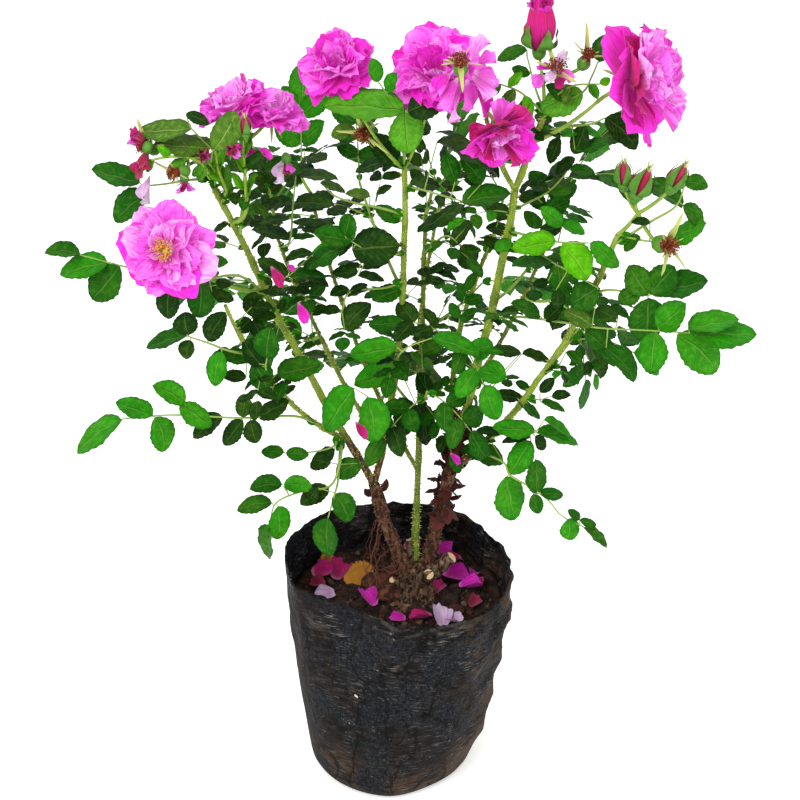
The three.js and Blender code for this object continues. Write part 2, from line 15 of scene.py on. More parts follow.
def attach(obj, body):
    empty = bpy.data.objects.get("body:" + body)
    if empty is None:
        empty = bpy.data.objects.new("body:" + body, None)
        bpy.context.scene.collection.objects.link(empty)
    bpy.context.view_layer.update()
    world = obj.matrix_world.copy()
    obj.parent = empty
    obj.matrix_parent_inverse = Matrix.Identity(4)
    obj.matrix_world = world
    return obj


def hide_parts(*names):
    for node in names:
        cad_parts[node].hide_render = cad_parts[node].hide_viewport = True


bl_info = {
    "name": "Potted Rose Bush",
    "version": (1, 0, 0),
    "blender": (4, 5, 0),
    "location": "View3D > Sidebar > Rose Bush",
    "description": "Dresses the solids of a potted rose bush with bark, leaves and blossom",
    "category": "Add Mesh",
}

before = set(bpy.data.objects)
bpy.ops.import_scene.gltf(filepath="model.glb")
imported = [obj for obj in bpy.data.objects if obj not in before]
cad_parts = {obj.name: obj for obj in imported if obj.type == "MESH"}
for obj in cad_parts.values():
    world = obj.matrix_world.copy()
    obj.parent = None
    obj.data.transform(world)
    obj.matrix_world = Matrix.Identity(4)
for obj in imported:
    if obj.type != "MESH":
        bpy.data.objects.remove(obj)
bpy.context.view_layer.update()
MM = 0.001

# ---------------------------------------------------------------- the bush, as in its solids

# name, ripe, (parent, share) or start, tip, bow, (radius at the foot, at the tip)
LIMBS = [
    ("cane_left", True, (8, -8, 166), (-20, 0, 250), (-1.5, 0, 0), (6.6, 4.9)),
    ("cane_right", True, (17, -4, 163), (42, 5, 281), (2, 5, 0), (6.8, 5)),
    ("cane_middle", False, (13, 1, 166), (19, 40, 454), (0, 4, 0), (2.9, 2)),
    ("cane_back", False, (10, 2, 166), (30, 120, 430), (-8, -10, 10), (3.4, 2)),
    ("cane_left_tall", False, ("cane_left", 1), (-137, -5, 503), (-2, -3, -2), (3.9, 2.8)),
    ("cane_centre", False, ("cane_left", 1), (3, 0, 501), (9, 4, 0), (3.5, 2.6)),
    ("cane_left_low", False, ("cane_left_tall", 0.16), (-121, -60, 421), (-6, -4, -12), (2.7, 1.7)),
    ("cane_thin", False, ("cane_centre", 0.12), (-92, 38, 440), (-8, 4, 4), (2.3, 1.6)),
    ("cane_right_main", False, ("cane_right", 1), (80, -20, 491), (3, -6, 0), (4.4, 3.6)),
    ("cane_right_inner", False, ("cane_right", 1), (69, 40, 435), (-12, 6, -6), (3.2, 2)),
    ("cane_right_low", False, ("cane_right", 0.8), (150, -45, 467), (8, -3, -14), (3.6, 2.4)),
    ("shoot_right_top", False, ("cane_right_main", 1), (99, -20, 546), (1, 0, 2), (3, 2.4)),
    ("shoot_pink", False, ("cane_right_main", 1), (58, -38, 546), (-3, 0, 2), (2.3, 1.7)),
    ("cane_back_left", False, ("cane_middle", 0.3), (-70, 110, 450), (-8, 8, -10), (2.4, 1.7)),
    ("cane_back_right", False, ("cane_right_inner", 0.2), (122, 96, 440), (8, 6, -10), (2.4, 1.7)),
]

# name, cane, share along it, tip of the stem, lean, tone of its green, leaves as (clock, reach)
MASSES = [
    ("bloom_left", "cane_left_tall", 0.64, (-150, -72, 458), -12, "deep", [(178, 112), (128, 74)]),
    ("top_left", "cane_left_tall", 1, (-154, -16, 526), -6, "mid", [(190, 88), (118, 62)]),
    ("twin_blooms", "cane_left_tall", 0.8, (-106, -10, 524), 8, "mid", [(8, 82), (240, 68)]),
    ("left_low_tip", "cane_left_low", 1, (-142, -76, 434), -8, "mid", [(200, 80), (252, 78), (300, 70)]),
    ("left_low_upper", "cane_left_low", 0.6, (-112, -74, 376), -10, "mid", [(178, 82), (268, 72)]),
    ("low_left_spray", "cane_left_low", 0.3, (-122, -62, 338), -8, "bright", [(184, 126), (232, 72)]),
    ("drooping_left", "cane_left_low", 0.12, (-56, -44, 262), -8, "bright",
     [(166, 84), (212, 82), (292, 66)]),
    ("front_centre", "cane_left_tall", 0.38, (-50, -56, 366), -18, "bright", [(338, 84), (286, 76)]),
    ("left_back", "cane_left_tall", 0.5, (-112, 48, 398), 20, "deep", [(200, 88)]),
    ("thin_tip", "cane_thin", 1, (-96, 48, 470), 12, "deep", [(50, 78), (150, 88)]),
    ("thin_low", "cane_thin", 0.5, (-76, 54, 350), 16, "deep", [(196, 84)]),
    ("centre_top_left", "cane_centre", 1, (-24, -34, 544), -12, "bright", [(12, 74), (200, 88)]),
    ("centre_top_right", "cane_centre", 1, (18, -22, 544), -4, "mid", [(320, 76), (268, 78)]),
    ("centre_back", "cane_centre", 0.62, (-30, 50, 476), 22, "deep", [(170, 86), (90, 74)]),
    ("centre_front", "cane_centre", 0.46, (-10, -48, 412), -16, "mid", [(205, 80), (322, 76)]),
    ("centre_upper", "cane_centre", 0.8, (-30, -38, 480), -8, "mid", [(216, 82), (290, 70)]),
    ("middle_tip", "cane_middle", 1, (26, 64, 476), 12, "deep", [(30, 80), (118, 76)]),
    ("middle_low", "cane_middle", 0.5, (20, -26, 340), -10, "mid", [(222, 70), (318, 72)]),
    ("inner_tip", "cane_right_inner", 1, (78, 64, 460), 14, "deep", [(30, 80), (130, 74)]),
    ("inner_low", "cane_right_inner", 0.5, (38, -30, 388), -14, "mid", [(158, 66), (300, 72)]),
    ("right_cross", "cane_right_main", 0.4, (98, -44, 404), -6, "mid", [(352, 96)]),
    ("right_front", "cane_right_main", 0.76, (98, -58, 462), -16, "young",
     [(348, 72), (48, 76), (300, 72)]),
    ("right_back", "cane_right_main", 0.6, (102, 44, 420), 20, "deep", [(348, 86), (70, 78)]),
    ("right_side", "cane_right_main", 0.92, (116, 14, 512), 10, "mid", [(336, 82), (22, 76)]),
    ("bloom_right", "shoot_right_top", 0.6, (132, -33, 556), 4, "mid", [(338, 74)]),
    ("bud_top", "shoot_right_top", 1, (96, -28, 570), -10, "bright", [(176, 68), (322, 66)]),
    ("pink_hanging", "shoot_pink", 1, (60, -42, 566), -6, "mid", [(262, 72)]),
    ("low_right_tip", "cane_right_low", 1, (162, -50, 484), -6, "bright", [(2, 74), (316, 72), (196, 68)]),
    ("big_right", "cane_right_low", 0.78, (154, -64, 424), -8, "bright", [(352, 112), (286, 78)]),
    ("right_low_mid", "cane_right_low", 0.56, (132, 4, 378), 8, "mid", [(340, 86), (276, 70)]),
    ("right_small", "cane_right_low", 0.36, (100, -42, 336), -12, "mid", [(330, 78)]),
    ("low_right_spray", "cane_right_low", 0.16, (84, -48, 288), -8, "bright", [(323, 108), (0, 74)]),
    ("back_tip", "cane_back", 1, (36, 142, 452), 26, "mid", [(80, 90), (160, 88), (10, 86)]),
    ("back_mid", "cane_back", 0.66, (66, 116, 372), 24, "mid", [(348, 90)]),
    ("back_low", "cane_back", 0.45, (-24, 104, 324), 24, "mid", [(190, 90), (330, 78)]),
    ("back_left_tip", "cane_back_left", 1, (-82, 130, 466), 18, "mid", [(90, 90), (165, 92), (225, 86)]),
    ("back_left_mid", "cane_back_left", 0.6, (-92, 108, 374), 16, "mid", [(182, 92), (250, 80)]),
    ("back_right_tip", "cane_back_right", 1, (134, 110, 462), 16, "mid", [(50, 90), (350, 92)]),
    ("back_right_mid", "cane_back_right", 0.6, (124, 96, 366), 18, "mid", [(300, 90)]),
]

# mass, kind, form, middle, facing, radius
HEADS = [
    ("bloom_left", "bloom", "open", (-156, -93, 472), (-0.1, -0.93, 0.35), 31.5),
    ("top_left", "bud", "withered", (-174, -34, 528), (-0.5, -0.5, 0.5), 8),
    ("top_left", "hip", "", (-147, -42, 511), (-0.8, -0.55, 0), 6),
    ("twin_blooms", "bloom", "cup", (-116, -12, 552), (-0.35, -0.2, 0.9), 27),
    ("twin_blooms", "bloom", "cup", (-87, -6, 545), (0.35, -0.3, 0.9), 23.5),
    ("centre_top_left", "bloom", "ruffled", (-43, -20, 580), (-0.25, -0.62, 0.72), 26),
    ("centre_top_right", "bloom", "ruffled", (25, -32, 579), (-0.1, -0.7, 0.68), 33),
    ("centre_top_right", "hip", "", (39, -66, 586), (-0.1, -0.6, 0.8), 6.5),
    ("bloom_right", "bloom", "side", (166, -42, 573), (0.86, -0.42, 0.2), 38),
    ("bud_top", "bud", "opening", (93, -26, 600), (0.02, -0.1, 1), 9.6),
    ("bud_top", "bud", "spent", (103, -46, 584), (0.1, -0.6, 0.8), 7),
    ("bud_top", "hip", "", (122, -32, 582), (0.3, -0.3, 0.8), 6),
    ("pink_hanging", "bloom", "hanging", (68, -52, 538), (0.3, -0.75, -0.45), 24),
    ("low_right_tip", "bud", "closed", (162, -54, 504), (0.35, -0.15, 0.95), 7.6),
    ("low_right_tip", "bud", "closed", (186, -52, 508), (0.42, -0.1, 0.9), 6.6),
    ("low_right_tip", "hip", "", (177, -62, 466), (0.4, -0.8, 0.2), 8.2),
    ("centre_top_left", "hip", "", (-23, -14, 534), (-0.3, -0.85, -0.3), 7),
    ("twin_blooms", "bud", "closed", (-103.5, -44, 541), (-0.02, -0.1, 1), 4.6),
    ("low_right_tip", "bud", "closed", (151, -48, 509), (-0.05, -0.1, 1), 6.2),
]
HEAD_BACK = {"bloom": -0.5, "bud": -1.7, "hip": -0.9}  # the stalk's side, in radii along the facing

# The sprays that show at the front. Each is a rib from a cane, (cane, share) and then points, its
# leaflets and, for a thick shoot, the radius at its foot. Points are (u, v, depth): the camera's frame
# of 800 by 800 and Y. A leaflet is the u and v of its foot and tip, its width and its green.
SPRAYS = [
    ("cane_left_low", 0.22, [(293, 416, -40), (240, 418, -58), (173, 415, -64), (122, 419, -68)],
     [(122, 420, 72, 448, 24, "b"), (153, 415, 118, 398, 22, "b"), (155, 417, 168, 453, 29, "b"),
      (185, 403, 155, 384, 22, "b"), (180, 404, 212, 426, 24, "b"), (223, 417, 192, 437, 20, "d"),
      (243, 420, 220, 443, 20, "d"), (250, 420, 258, 443, 20, "d"), (242, 417, 243, 395, 18, "d"),
      (258, 417, 288, 400, 20, "d")]),
    ("cane_left_low", 0.08, [(334, 446, -22), (312, 452, -34), (284, 453, -42)],
     [(284, 452, 261, 451, 15, "m"), (286, 453, 308, 453, 15, "m"), (335, 450, 309, 467, 20, "d")]),
    ("cane_left_low", 0.04,
     [(340, 462, -30), (330, 486, -38), (300, 492, -44), (276, 503, -48), (270, 522, -50)],
     [(282, 484, 250, 487, 20, "m"), (284, 484, 312, 487, 19, "b"), (329, 488, 300, 504, 20, "d"),
      (272, 503, 236, 507, 19, "m"), (278, 506, 285, 542, 25, "b"), (270, 525, 260, 559, 20, "m")]),
    ("cane_left_low", 0.05, [(338, 480, -36), (334, 496, -50), (328, 518, -56)],
     [(328, 518, 327, 557, 25, "m"), (334, 494, 352, 521, 26, "m"), (361, 463, 336, 476, 23, "m"),
      (312, 459, 330, 463, 17, "d"), (318, 488, 306, 503, 15, "d")]),
    ("cane_left_low", 0.75, [(230, 351, -60), (208, 343, -66), (187, 336, -70)],
     [(187, 336, 144, 343, 19, "m"), (189, 335, 186, 312, 26, "d"), (190, 340, 185, 359, 18, "d"),
      (208, 341, 225, 312, 24, "d"), (222, 352, 210, 386, 22, "b"), (249, 360, 222, 355, 18, "m"),
      (246, 378, 222, 374, 14, "d")]),
    ("cane_left_low", 0.55, [(266, 370, -56), (267, 358, -60)],
     [(253, 363, 270, 389, 28, "m"), (277, 374, 318, 360, 24, "m"), (267, 358, 270, 328, 27, "m"),
      (262, 366, 246, 340, 20, "d")]),
    ("cane_left_tall", 0.6, [(262, 318, -30), (252, 318, -34)],
     [(252, 317, 255, 292, 24, "d"), (252, 318, 275, 313, 12, "d"), (251, 319, 236, 330, 18, "d"),
      (253, 320, 262, 338, 16, "d")]),
    ("cane_left_tall", 0.62,
     [(240, 276, -30), (200, 279, -62), (150, 272, -68), (118, 265, -68), (80, 255, -66)],
     [(80, 254, 46, 248, 16, "m"), (108, 263, 58, 270, 26, "b"), (120, 266, 89, 299, 36, "m"),
      (170, 288, 165, 319, 26, "d"), (200, 281, 196, 320, 29, "m"), (212, 292, 234, 300, 13, "d"),
      (215, 282, 231, 284, 9, "d"), (205, 262, 228, 262, 14, "b")]),
    ("cane_left_tall", 0.97, [(190, 180, -20), (165, 184, -28), (143, 186, -32)],
     [(140, 183, 92, 167, 23, "m"), (148, 193, 112, 220, 29, "m")]),
    ("cane_left_tall", 1, [(213, 152, -22), (205, 143, -28), (190, 127, -32)],
     [(192, 129, 137, 125, 25, "u"), (207, 148, 155, 138, 22, "u"), (186, 114, 209, 121, 13, "d")]),
    ("cane_left_tall", 0.84, [(246, 212, -20), (245, 176, -30), (243, 140, -38)],
     [(242, 142, 236, 122, 9, "l"), (244, 158, 252, 132, 9, "y"), (245, 176, 234, 152, 9, "y"),
      (246, 200, 256, 174, 9, "l"), (243, 168, 262, 152, 10, "m"), (244, 190, 234, 172, 8, "y")], 2.1),
    ("cane_left_tall", 0.9, [(226, 192, -20), (219, 172, -26), (215, 150, -32)],
     [(226, 194, 214, 160, 12, "y"), (230, 200, 228, 164, 10, "l"), (222, 182, 204, 166, 11, "y"),
      (219, 172, 224, 146, 10, "y")], 1.8),
    ("cane_thin", 0.93, [(290, 240, 10), (293, 205, 6), (296, 175, 4)],
     [(292, 201, 262, 203, 12, "d"), (295, 203, 334, 201, 17, "d"), (290, 219, 258, 217, 10, "d"),
      (292, 222, 335, 221, 9, "d"), (290, 240, 252, 228, 14, "d"), (296, 176, 338, 174, 13, "d"),
      (302, 172, 262, 166, 22, "m")]),
    ("cane_centre", 0.86, [(380, 208, -6), (355, 203, -12), (335, 196, -16), (322, 184, -18)],
     [(320, 183, 346, 190, 9, "d"), (370, 196, 347, 190, 11, "u"), (400, 222, 377, 204, 18, "m")]),
    ("cane_centre", 1, [(396, 164, -6), (388, 163, -8)],
     [(388, 163, 354, 168, 14, "d"), (398, 165, 374, 135, 26, "d"), (353, 128, 330, 135, 16, "u")]),
    ("cane_centre", 0.75, [(390, 255, -14), (370, 252, -20), (346, 238, -24)],
     [(345, 236, 350, 214, 20, "m"), (352, 240, 314, 232, 23, "m"), (350, 242, 302, 265, 19, "m"),
      (352, 250, 399, 244, 40, "d"), (358, 272, 333, 270, 14, "d"), (358, 276, 385, 280, 10, "d"),
      (389, 262, 362, 266, 12, "d")]),
    ("cane_left_tall", 0.7, [(275, 278, -20), (288, 277, -24)],
     [(288, 277, 325, 273, 11, "m"), (288, 275, 258, 258, 18, "d"), (313, 254, 286, 256, 10, "d")]),
    ("cane_centre", 0.66, [(385, 288, 0), (350, 292, -4), (342, 312, -4)],
     [(349, 289, 330, 295, 13, "d"), (350, 292, 367, 283, 8, "d"), (401, 290, 372, 298, 19, "m"),
      (340, 312, 320, 310, 11, "d"), (345, 330, 368, 303, 25, "d")]),
    ("cane_centre", 0.95, [(430, 192, -20), (465, 202, -26)],
     [(410, 182, 440, 184, 14, "d"), (462, 202, 508, 186, 24, "m"), (465, 205, 416, 229, 16, "d"),
      (455, 182, 446, 153, 20, "m"), (483, 182, 463, 154, 20, "m"), (437, 142, 503, 168, 20, "d")]),
    ("cane_middle", 0.9, [(445, 236, 20), (461, 245, 10)],
     [(472, 222, 445, 243, 18, "d"), (462, 246, 474, 269, 25, "d"), (447, 264, 426, 272, 9, "d")]),
    ("cane_right_inner", 0.93, [(498, 222, 24)],
     [(512, 215, 486, 206, 18, "d"), (510, 232, 487, 226, 14, "d"), (484, 236, 500, 246, 12, "d")]),
    ("cane_right_main", 0.86, [(530, 236, -48), (558, 242, -58), (588, 243, -60)],
     [(556, 241, 512, 243, 25, "y"), (562, 244, 590, 279, 33, "y"), (590, 243, 620, 266, 20, "b"),
      (562, 226, 541, 207, 17, "b"), (562, 226, 586, 232, 13, "b"), (511, 240, 495, 250, 15, "b")]),
    ("cane_right_main", 0.8, [(530, 249, -38), (552, 262, -46), (572, 273, -50), (598, 288, -52)],
     [(551, 262, 512, 264, 14, "m"), (556, 263, 560, 292, 26, "m"), (548, 281, 533, 285, 11, "d"),
      (556, 290, 558, 310, 15, "d"), (598, 288, 570, 304, 31, "m"), (592, 326, 567, 309, 20, "u")]),
    ("cane_right_main", 0.53, [(520, 317, -28), (560, 322, -42), (600, 328, -52), (640, 330, -60),
                               (690, 333, -66)],
     [(690, 333, 757, 327, 30, "b"), (688, 329, 737, 311, 24, "b"), (677, 335, 721, 372, 41, "b"),
      (658, 328, 683, 303, 31, "b"), (655, 332, 650, 374, 31, "b"), (585, 332, 608, 349, 20, "m"),
      (606, 348, 634, 369, 19, "m"),
      (618, 318, 596, 308, 18, "d"), (540, 316, 512, 302, 16, "m"), (545, 320, 562, 302, 16, "d"),
      (500, 314, 516, 307, 10, "d")]),
    ("cane_right_low", 0.82, [(612, 290, -50), (648, 296, -56)],
     [(648, 295, 632, 266, 29, "m"), (650, 294, 674, 266, 33, "m"), (655, 293, 707, 276, 29, "m"),
      (648, 298, 647, 344, 39, "m"), (640, 292, 618, 300, 20, "m")]),
    ("cane_right_low", 0.42, [(540, 400, -26)],
     [(552, 396, 570, 394, 11, "d"), (541, 402, 566, 409, 9, "m"), (518, 402, 541, 418, 11, "m"),
      (540, 392, 552, 378, 13, "d")]),
    ("cane_right_low", 0.56, [(560, 364, -30)],
     [(560, 366, 570, 382, 10, "d"), (566, 352, 584, 364, 10, "m"), (556, 362, 542, 372, 9, "d")]),
    ("cane_right_main", 0.3, [(490, 390, 4), (496, 396, 2)],
     [(495, 397, 524, 395, 15, "d"), (521, 353, 492, 346, 12, "d"), (522, 354, 551, 359, 12, "d")]),
    ("cane_right_low", 0.2, [(502, 434, -28), (520, 436, -36), (536, 432, -40)],
     [(535, 430, 494, 423, 20, "b"), (537, 433, 579, 443, 16, "b"), (544, 420, 572, 436, 11, "b"),
      (500, 434, 478, 427, 10, "d"), (530, 437, 503, 437, 8, "d"), (535, 436, 546, 449, 14, "d"),
      (531, 441, 509, 474, 28, "b"), (503, 462, 464, 446, 22, "m")]),
    ("cane_right_low", 0.14,
     [(503, 462, -36), (510, 475, -44), (530, 487, -50), (548, 500, -52), (562, 516, -54), (584, 527, -54)],
     [(505, 477, 516, 521, 32, "b"), (537, 494, 537, 460, 22, "m"), (540, 494, 564, 491, 14, "m"),
      (533, 494, 540, 514, 15, "m"), (570, 518, 573, 541, 21, "b"), (580, 519, 568, 510, 10, "m"),
      (580, 520, 597, 524, 10, "m"), (584, 528, 609, 545, 12, "m")]),
    ("cane_centre", 0.22, [(372, 402, -30), (367, 396, -44)],
     [(367, 397, 377, 444, 34, "b"), (354, 388, 321, 430, 32, "b"), (400, 397, 407, 437, 25, "d")]),
    ("cane_centre", 0.4, [(399, 355, -34), (410, 346, -40), (432, 338, -42)],
     [(397, 347, 349, 354, 25, "b"), (402, 367, 352, 378, 28, "b"), (432, 338, 481, 350, 19, "b"),
      (417, 373, 433, 394, 18, "d"), (416, 405, 433, 445, 23, "d")]),
    ("cane_centre", 1, [(405, 140, -24), (406, 112, -44)],
     [(405, 112, 324, 97, 32, "l"), (405, 110, 413, 154, 39, "l"), (408, 112, 442, 97, 32, "d")]),
    ("cane_centre", 1, [(402, 130, -22), (390, 100, -34), (380, 84, -36)],
     [(378, 82, 374, 60, 15, "b"), (388, 92, 396, 73, 15, "b")]),
    ("shoot_right_top", 0.9, [(560, 104, -26), (583, 92, -30), (592, 76, -12), (598, 62, -4)],
     [(583, 92, 540, 110, 32, "l"), (600, 62, 606, 34, 20, "m"), (566, 100, 548, 84, 14, "m")]),
    ("shoot_right_top", 0.7, [(560, 128, -20), (590, 124, -24), (605, 118, -26)],
     [(605, 118, 640, 146, 28, "d"), (585, 125, 571, 154, 21, "d"), (575, 150, 609, 138, 15, "m"),
      (560, 138, 548, 163, 16, "d")]),
    ("cane_right_main", 0.93, [(530, 202, 0), (548, 192, 0), (562, 178, 0), (572, 163, 0)],
     [(575, 158, 556, 174, 13, "d"), (570, 170, 595, 169, 13, "m"), (548, 188, 530, 183, 9, "d"),
      (549, 192, 571, 188, 13, "m"), (542, 203, 525, 200, 9, "d")]),
    ("shoot_right_top", 1, [(536, 90, -24), (527, 56, -26)],
     [(527, 50, 496, 57, 15, "m"), (530, 74, 512, 68, 12, "m"), (534, 84, 550, 74, 12, "m")]),
    ("shoot_right_top", 0.95, [(538, 108, -24), (520, 92, -30), (500, 84, -34)],
     [(515, 90, 500, 106, 13, "u"), (524, 96, 532, 118, 13, "y"), (508, 86, 522, 72, 11, "y"),
      (530, 100, 514, 118, 12, "u"), (500, 84, 488, 98, 12, "b")]),
    ("shoot_right_top", 1, [(552, 100, -26), (572, 86, -36), (600, 84, -38)],
     [(572, 86, 562, 104, 11, "u"), (590, 84, 598, 98, 10, "b"), (600, 84, 610, 78, 9, "y")]),
    ("cane_left_tall", 0.94, [(214, 170, -24), (200, 158, -34), (184, 160, -38)],
     [(186, 160, 166, 176, 11, "l"), (200, 158, 186, 146, 12, "y"), (206, 163, 196, 182, 12, "l"),
      (212, 168, 226, 150, 12, "y")]),
    ("cane_left_tall", 0.97,
     [(209, 176, -24), (201, 163, -32), (186, 157, -38), (168, 157, -42), (152, 160, -42)],
     [(170, 157, 158, 146, 9, "y"), (154, 160, 146, 172, 9, "l"), (186, 157, 176, 168, 10, "y"),
      (203, 166, 192, 176, 10, "l")], 1.8),
    ("cane_left_tall", 0.98, [(211, 160, -32), (213, 150, -44)], [(214, 150, 234, 111, 29, "u")]),
    ("cane_right_low", 1, [(640, 240, -52), (665, 243, -58)],
     [(665, 243, 705, 221, 22, "b"), (650, 222, 632, 221, 9, "d"), (640, 236, 622, 250, 14, "m")]),
    ("cane_right_low", 0.97, [(650, 222, -52), (676, 206, -56), (685, 184, -58)],
     [(683, 205, 705, 224, 19, "m"), (685, 183, 708, 185, 18, "m")]),
]
# The masses whose leaves are these sprays.
DRAWN = {"bloom_left", "top_left", "twin_blooms", "left_low_tip", "left_low_upper", "low_left_spray",
         "drooping_left", "front_centre", "centre_top_left", "centre_top_right", "centre_upper",
         "centre_front", "right_front", "right_cross", "bloom_right", "bud_top", "pink_hanging",
         "low_right_tip", "big_right", "right_small", "low_right_spray", "right_side"}
# The masses that carry no fine leaves.
SPARSE = {"back_right_tip", "right_back", "inner_tip", "back_right_mid"}
# The greens are numbers in the list of leaf finishes: deep, mid, bright, young, underside and light.
TONE_LETTERS = {"d": 0, "m": 1, "b": 2, "y": 3, "u": 4, "l": 5}
# Deep is the leaf green in painted shade, for leaves inside and behind the bush; bright and light are it in
# painted light, for leaves in full light and the large leaves at the top.
# The greens that a leaf of each tone draws from.
TONES = {"deep": [0, 0, 0, 1], "mid": [0, 1, 1, 1, 2], "bright": [1, 2, 2, 2], "young": [3, 3, 2]}

CAMERA_AT = (0, -1050, 800)
CAMERA_TURN = 65.5  # degrees up from looking straight down
CAMERA_REACH = 1530  # focal length in the frame's pixels
FRAME_SIDE = 800
SENSOR = 36  # width of the camera's sensor, in real millimetres
TO_VIEWER = Vector((0, -0.9, 0.42)).normalized()

# The rule by which stems, ribs and leaflets grow, as in the solids but with slimmer stems and ribs.
STEM_RADII = (1.7, 1.1)
RIB_RADII = (0.75, 0.4)
PEDICEL_RADII = (1.5, 1.2)  # the stalk of a bloom, bud or hip
SPRAY_RADIUS = 1.1
STEM_SAG = 0.06
RIB_ARCH = 0.1
LONG_LEAF = 96  # a leaf that reaches further has three pairs of leaflets
FIRST_PAIR = {2: 0.4, 3: 0.3}  # where the first of the pairs sits along the rib
LAST_PAIR = 0.78
PAIR_STAGGER = 0.02
PAIR_ANGLE = 58
LEAFLET_SHARE = {2: 0.36, 3: 0.3}  # a leaflet's length as a share of the leaf's
FIRST_LEAF = 0.45  # a stem is bare up to this share of its length
BACK_OF_BUSH = 60  # leaves behind this face the back
BACK_PIECE = 45  # leaves behind this are a piece of their own
BLADE_WIDTH = 0.66  # a leaflet's width as a share of its length
PETAL_WIDTH = 0.95
LEAVES_FROM = 322  # height from which the canes bear small leaves of their own
LEAF_STEP = 21  # distance along a cane from one of these to the next
GOLDEN_ANGLE = 2.4
LINE_STEPS = 5  # points from one knot of a rounded line to the next
CLEAR_VIEW = 110  # no leaf stands this close before a bloom's face

# The bag, as in its solid.
BAG_HEIGHT = 184
BAG_FOOT_RADIUS = 67
BAG_FOOT_SHIFT = -4
BAG_RIM_RADII = [87, 85, 89, 86, 87, 89, 93, 91, 80, 91, 99, 93]  # every 30 degrees from +X
BAG_RIM_TILT = 6
BAG_RIM_HIGH_SIDE = 135
SOIL_TOP = 150
CROWN_AT = (12, -8)
# Slanting folds, most of them on the right: one end's degrees and height, the other's, and how far
# the fold stands out.
BAG_FOLDS = [
    (-6, 170, -58, 118, 0.9), (0, 134, -50, 74, 0.85), (6, 98, -40, 38, 0.8), (-30, 176, -84, 150, 0.6),
    (24, 160, 2, 60, 0.7), (-70, 96, -104, 52, 0.45), (150, 160, 196, 108, 0.6), (70, 150, 110, 70, 0.6),
]
FOLD_RADIUS = 80  # radius on which the way along a fold is measured
# Height and inset of the bag's inner rings, from the rim down.
BAG_INSIDE = [(181, 1.4), (176, 1.5), (170, 1.5), (163, 1.5), (156, 1.5), (150, 1.6), (140, 1.8),
              (100, 2), (40, 2), (4, 2)]
THREADS, CRUMBS, ROOTLETS = 70, 900, 15
# Clods on the soil: x, y and size.
CLODS = [(0, 6, 10), (-9, 14, 7), (39, -17, 8), (-30, 40, 5), (-12, -30, 5), (44, 6, 5), (-46, 20, 4),
         (24, 44, 6), (58, 38, 5), (-52, -24, 4), (8, 50, 5)]
# Lumps of old root: x, y, height over the soil and size.
LUMPS = [(-15, 2, 5, 12), (-9, -10, 4, 11), (-22, 8, 6, 9), (-6, 8, 8, 11), (-19, -8, 2, 8)]
# The root crown's rings from the soil up: radius and height.
CROWN_RINGS = [(23, 0), (21, 2), (18.5, 4), (16.4, 6.5), (15, 9), (13.8, 12), (12.8, 15), (12, 18),
               (11.4, 21), (10.8, 24), (10, 27), (9, 29), (7.6, 31), (5, 32.4), (2, 33)]
# Pruned stubs: foot, tip and the radius at each.
STUBS = [((14, -8, 168), (22, -30, 187), (6.5, 4.2)), ((15, -4, 165), (40, -8, 189), (6.5, 5)),
         ((12, 0, 168), (8, 14, 192), (5, 3.4)), ((6, -10, 164), (-6, -20, 176), (4.5, 2.6))]

# ---------------------------------------------------------------- sizes and colours for a user


def paint(code):
    """A colour written as six hex digits, in linear light."""
    parts = [int(code[i:i + 2], 16) / 255 for i in (0, 2, 4)]
    return tuple(c / 12.92 if c <= 0.04045 else ((c + 0.055) / 1.055) ** 2.4 for c in parts)


def colour_property(name, description, code):
    return bpy.props.FloatVectorProperty(
        name=name, description=description, default=paint(code), subtype="COLOR", size=3, min=0, max=1)


def length_property(name, description, millimetres):
    return bpy.props.FloatProperty(
        name=name, description=description, default=millimetres * MM, min=0, unit="LENGTH")


class BagSizes(bpy.types.PropertyGroup):
    height: bpy.props.FloatProperty(
        name="Height", description="Height of the bag's wall before its rim tilts",
        default=BAG_HEIGHT * MM, min=0.1, unit="LENGTH")
    fold_depth: length_property("Fold depth", "How far the soft wall's folds stand in and out", 3.3)
    fray: length_property("Fray", "How unevenly the cut rim is torn", 1.6)
    cloth: colour_property("Cloth", "Woven plastic of the bag", "060607")
    dust: colour_property("Dust", "Pale dust near the rim and on the folds", "474546")
    mud: colour_property("Mud", "Brown dust low down and on the right", "463729")
    soil: colour_property("Soil", "Moist potting soil", "170f0c")


class CaneSizes(bpy.types.PropertyGroup):
    prickle: length_property("Prickle length", "Length of the longest prickles", 3.0)
    prickle_gap: length_property("Prickle gap", "Distance along a cane from one prickle to the next", 0.42)
    bark: colour_property("Ripe bark", "Bark of the old canes", "5c3c2b")
    green: colour_property("Green bark", "Bark of the young canes", "7a9224")


class LeafSizes(bpy.types.PropertyGroup):
    tooth: bpy.props.FloatProperty(
        name="Tooth", description="Depth of a leaflet's teeth, as a share of its width",
        default=0.035, min=0, max=0.4, subtype="FACTOR")
    fine_leaves: bpy.props.IntProperty(
        name="Fine leaves", description="Smaller leaves on fine twigs, added to each mass", default=3, min=0)
    # Painted shade and light: the deep green is the leaf green darkened for leaves inside and behind, the
    # bright and light greens are it lightened for leaves in full light and at the top.
    deep: colour_property("Deep green", "Old leaves inside and behind", "103806")
    mid: colour_property("Mid green", "Most of the leaves", "185f06")
    bright: colour_property("Bright green", "Leaves in full light", "288a0a")
    young: colour_property("Young green", "The newest leaves", "54b200")
    light: colour_property("Light green", "The large leaves at the top", "4f9c1e")


class BlossomSizes(bpy.types.PropertyGroup):
    ruffle: bpy.props.FloatProperty(
        name="Ruffle", description="How strongly a petal's edge waves, as a share of its length",
        default=0.06, min=0, max=0.5, subtype="FACTOR")
    pale: colour_property("Pale petals", "Light lilac pink", "f08ee8")
    pink: colour_property("Pink petals", "The main pink", "ec58e0")
    magenta: colour_property("Magenta petals", "Full magenta", "e018c6")
    deep: colour_property("Deep petals", "Deep pink of buds and shaded petals", "c00868")


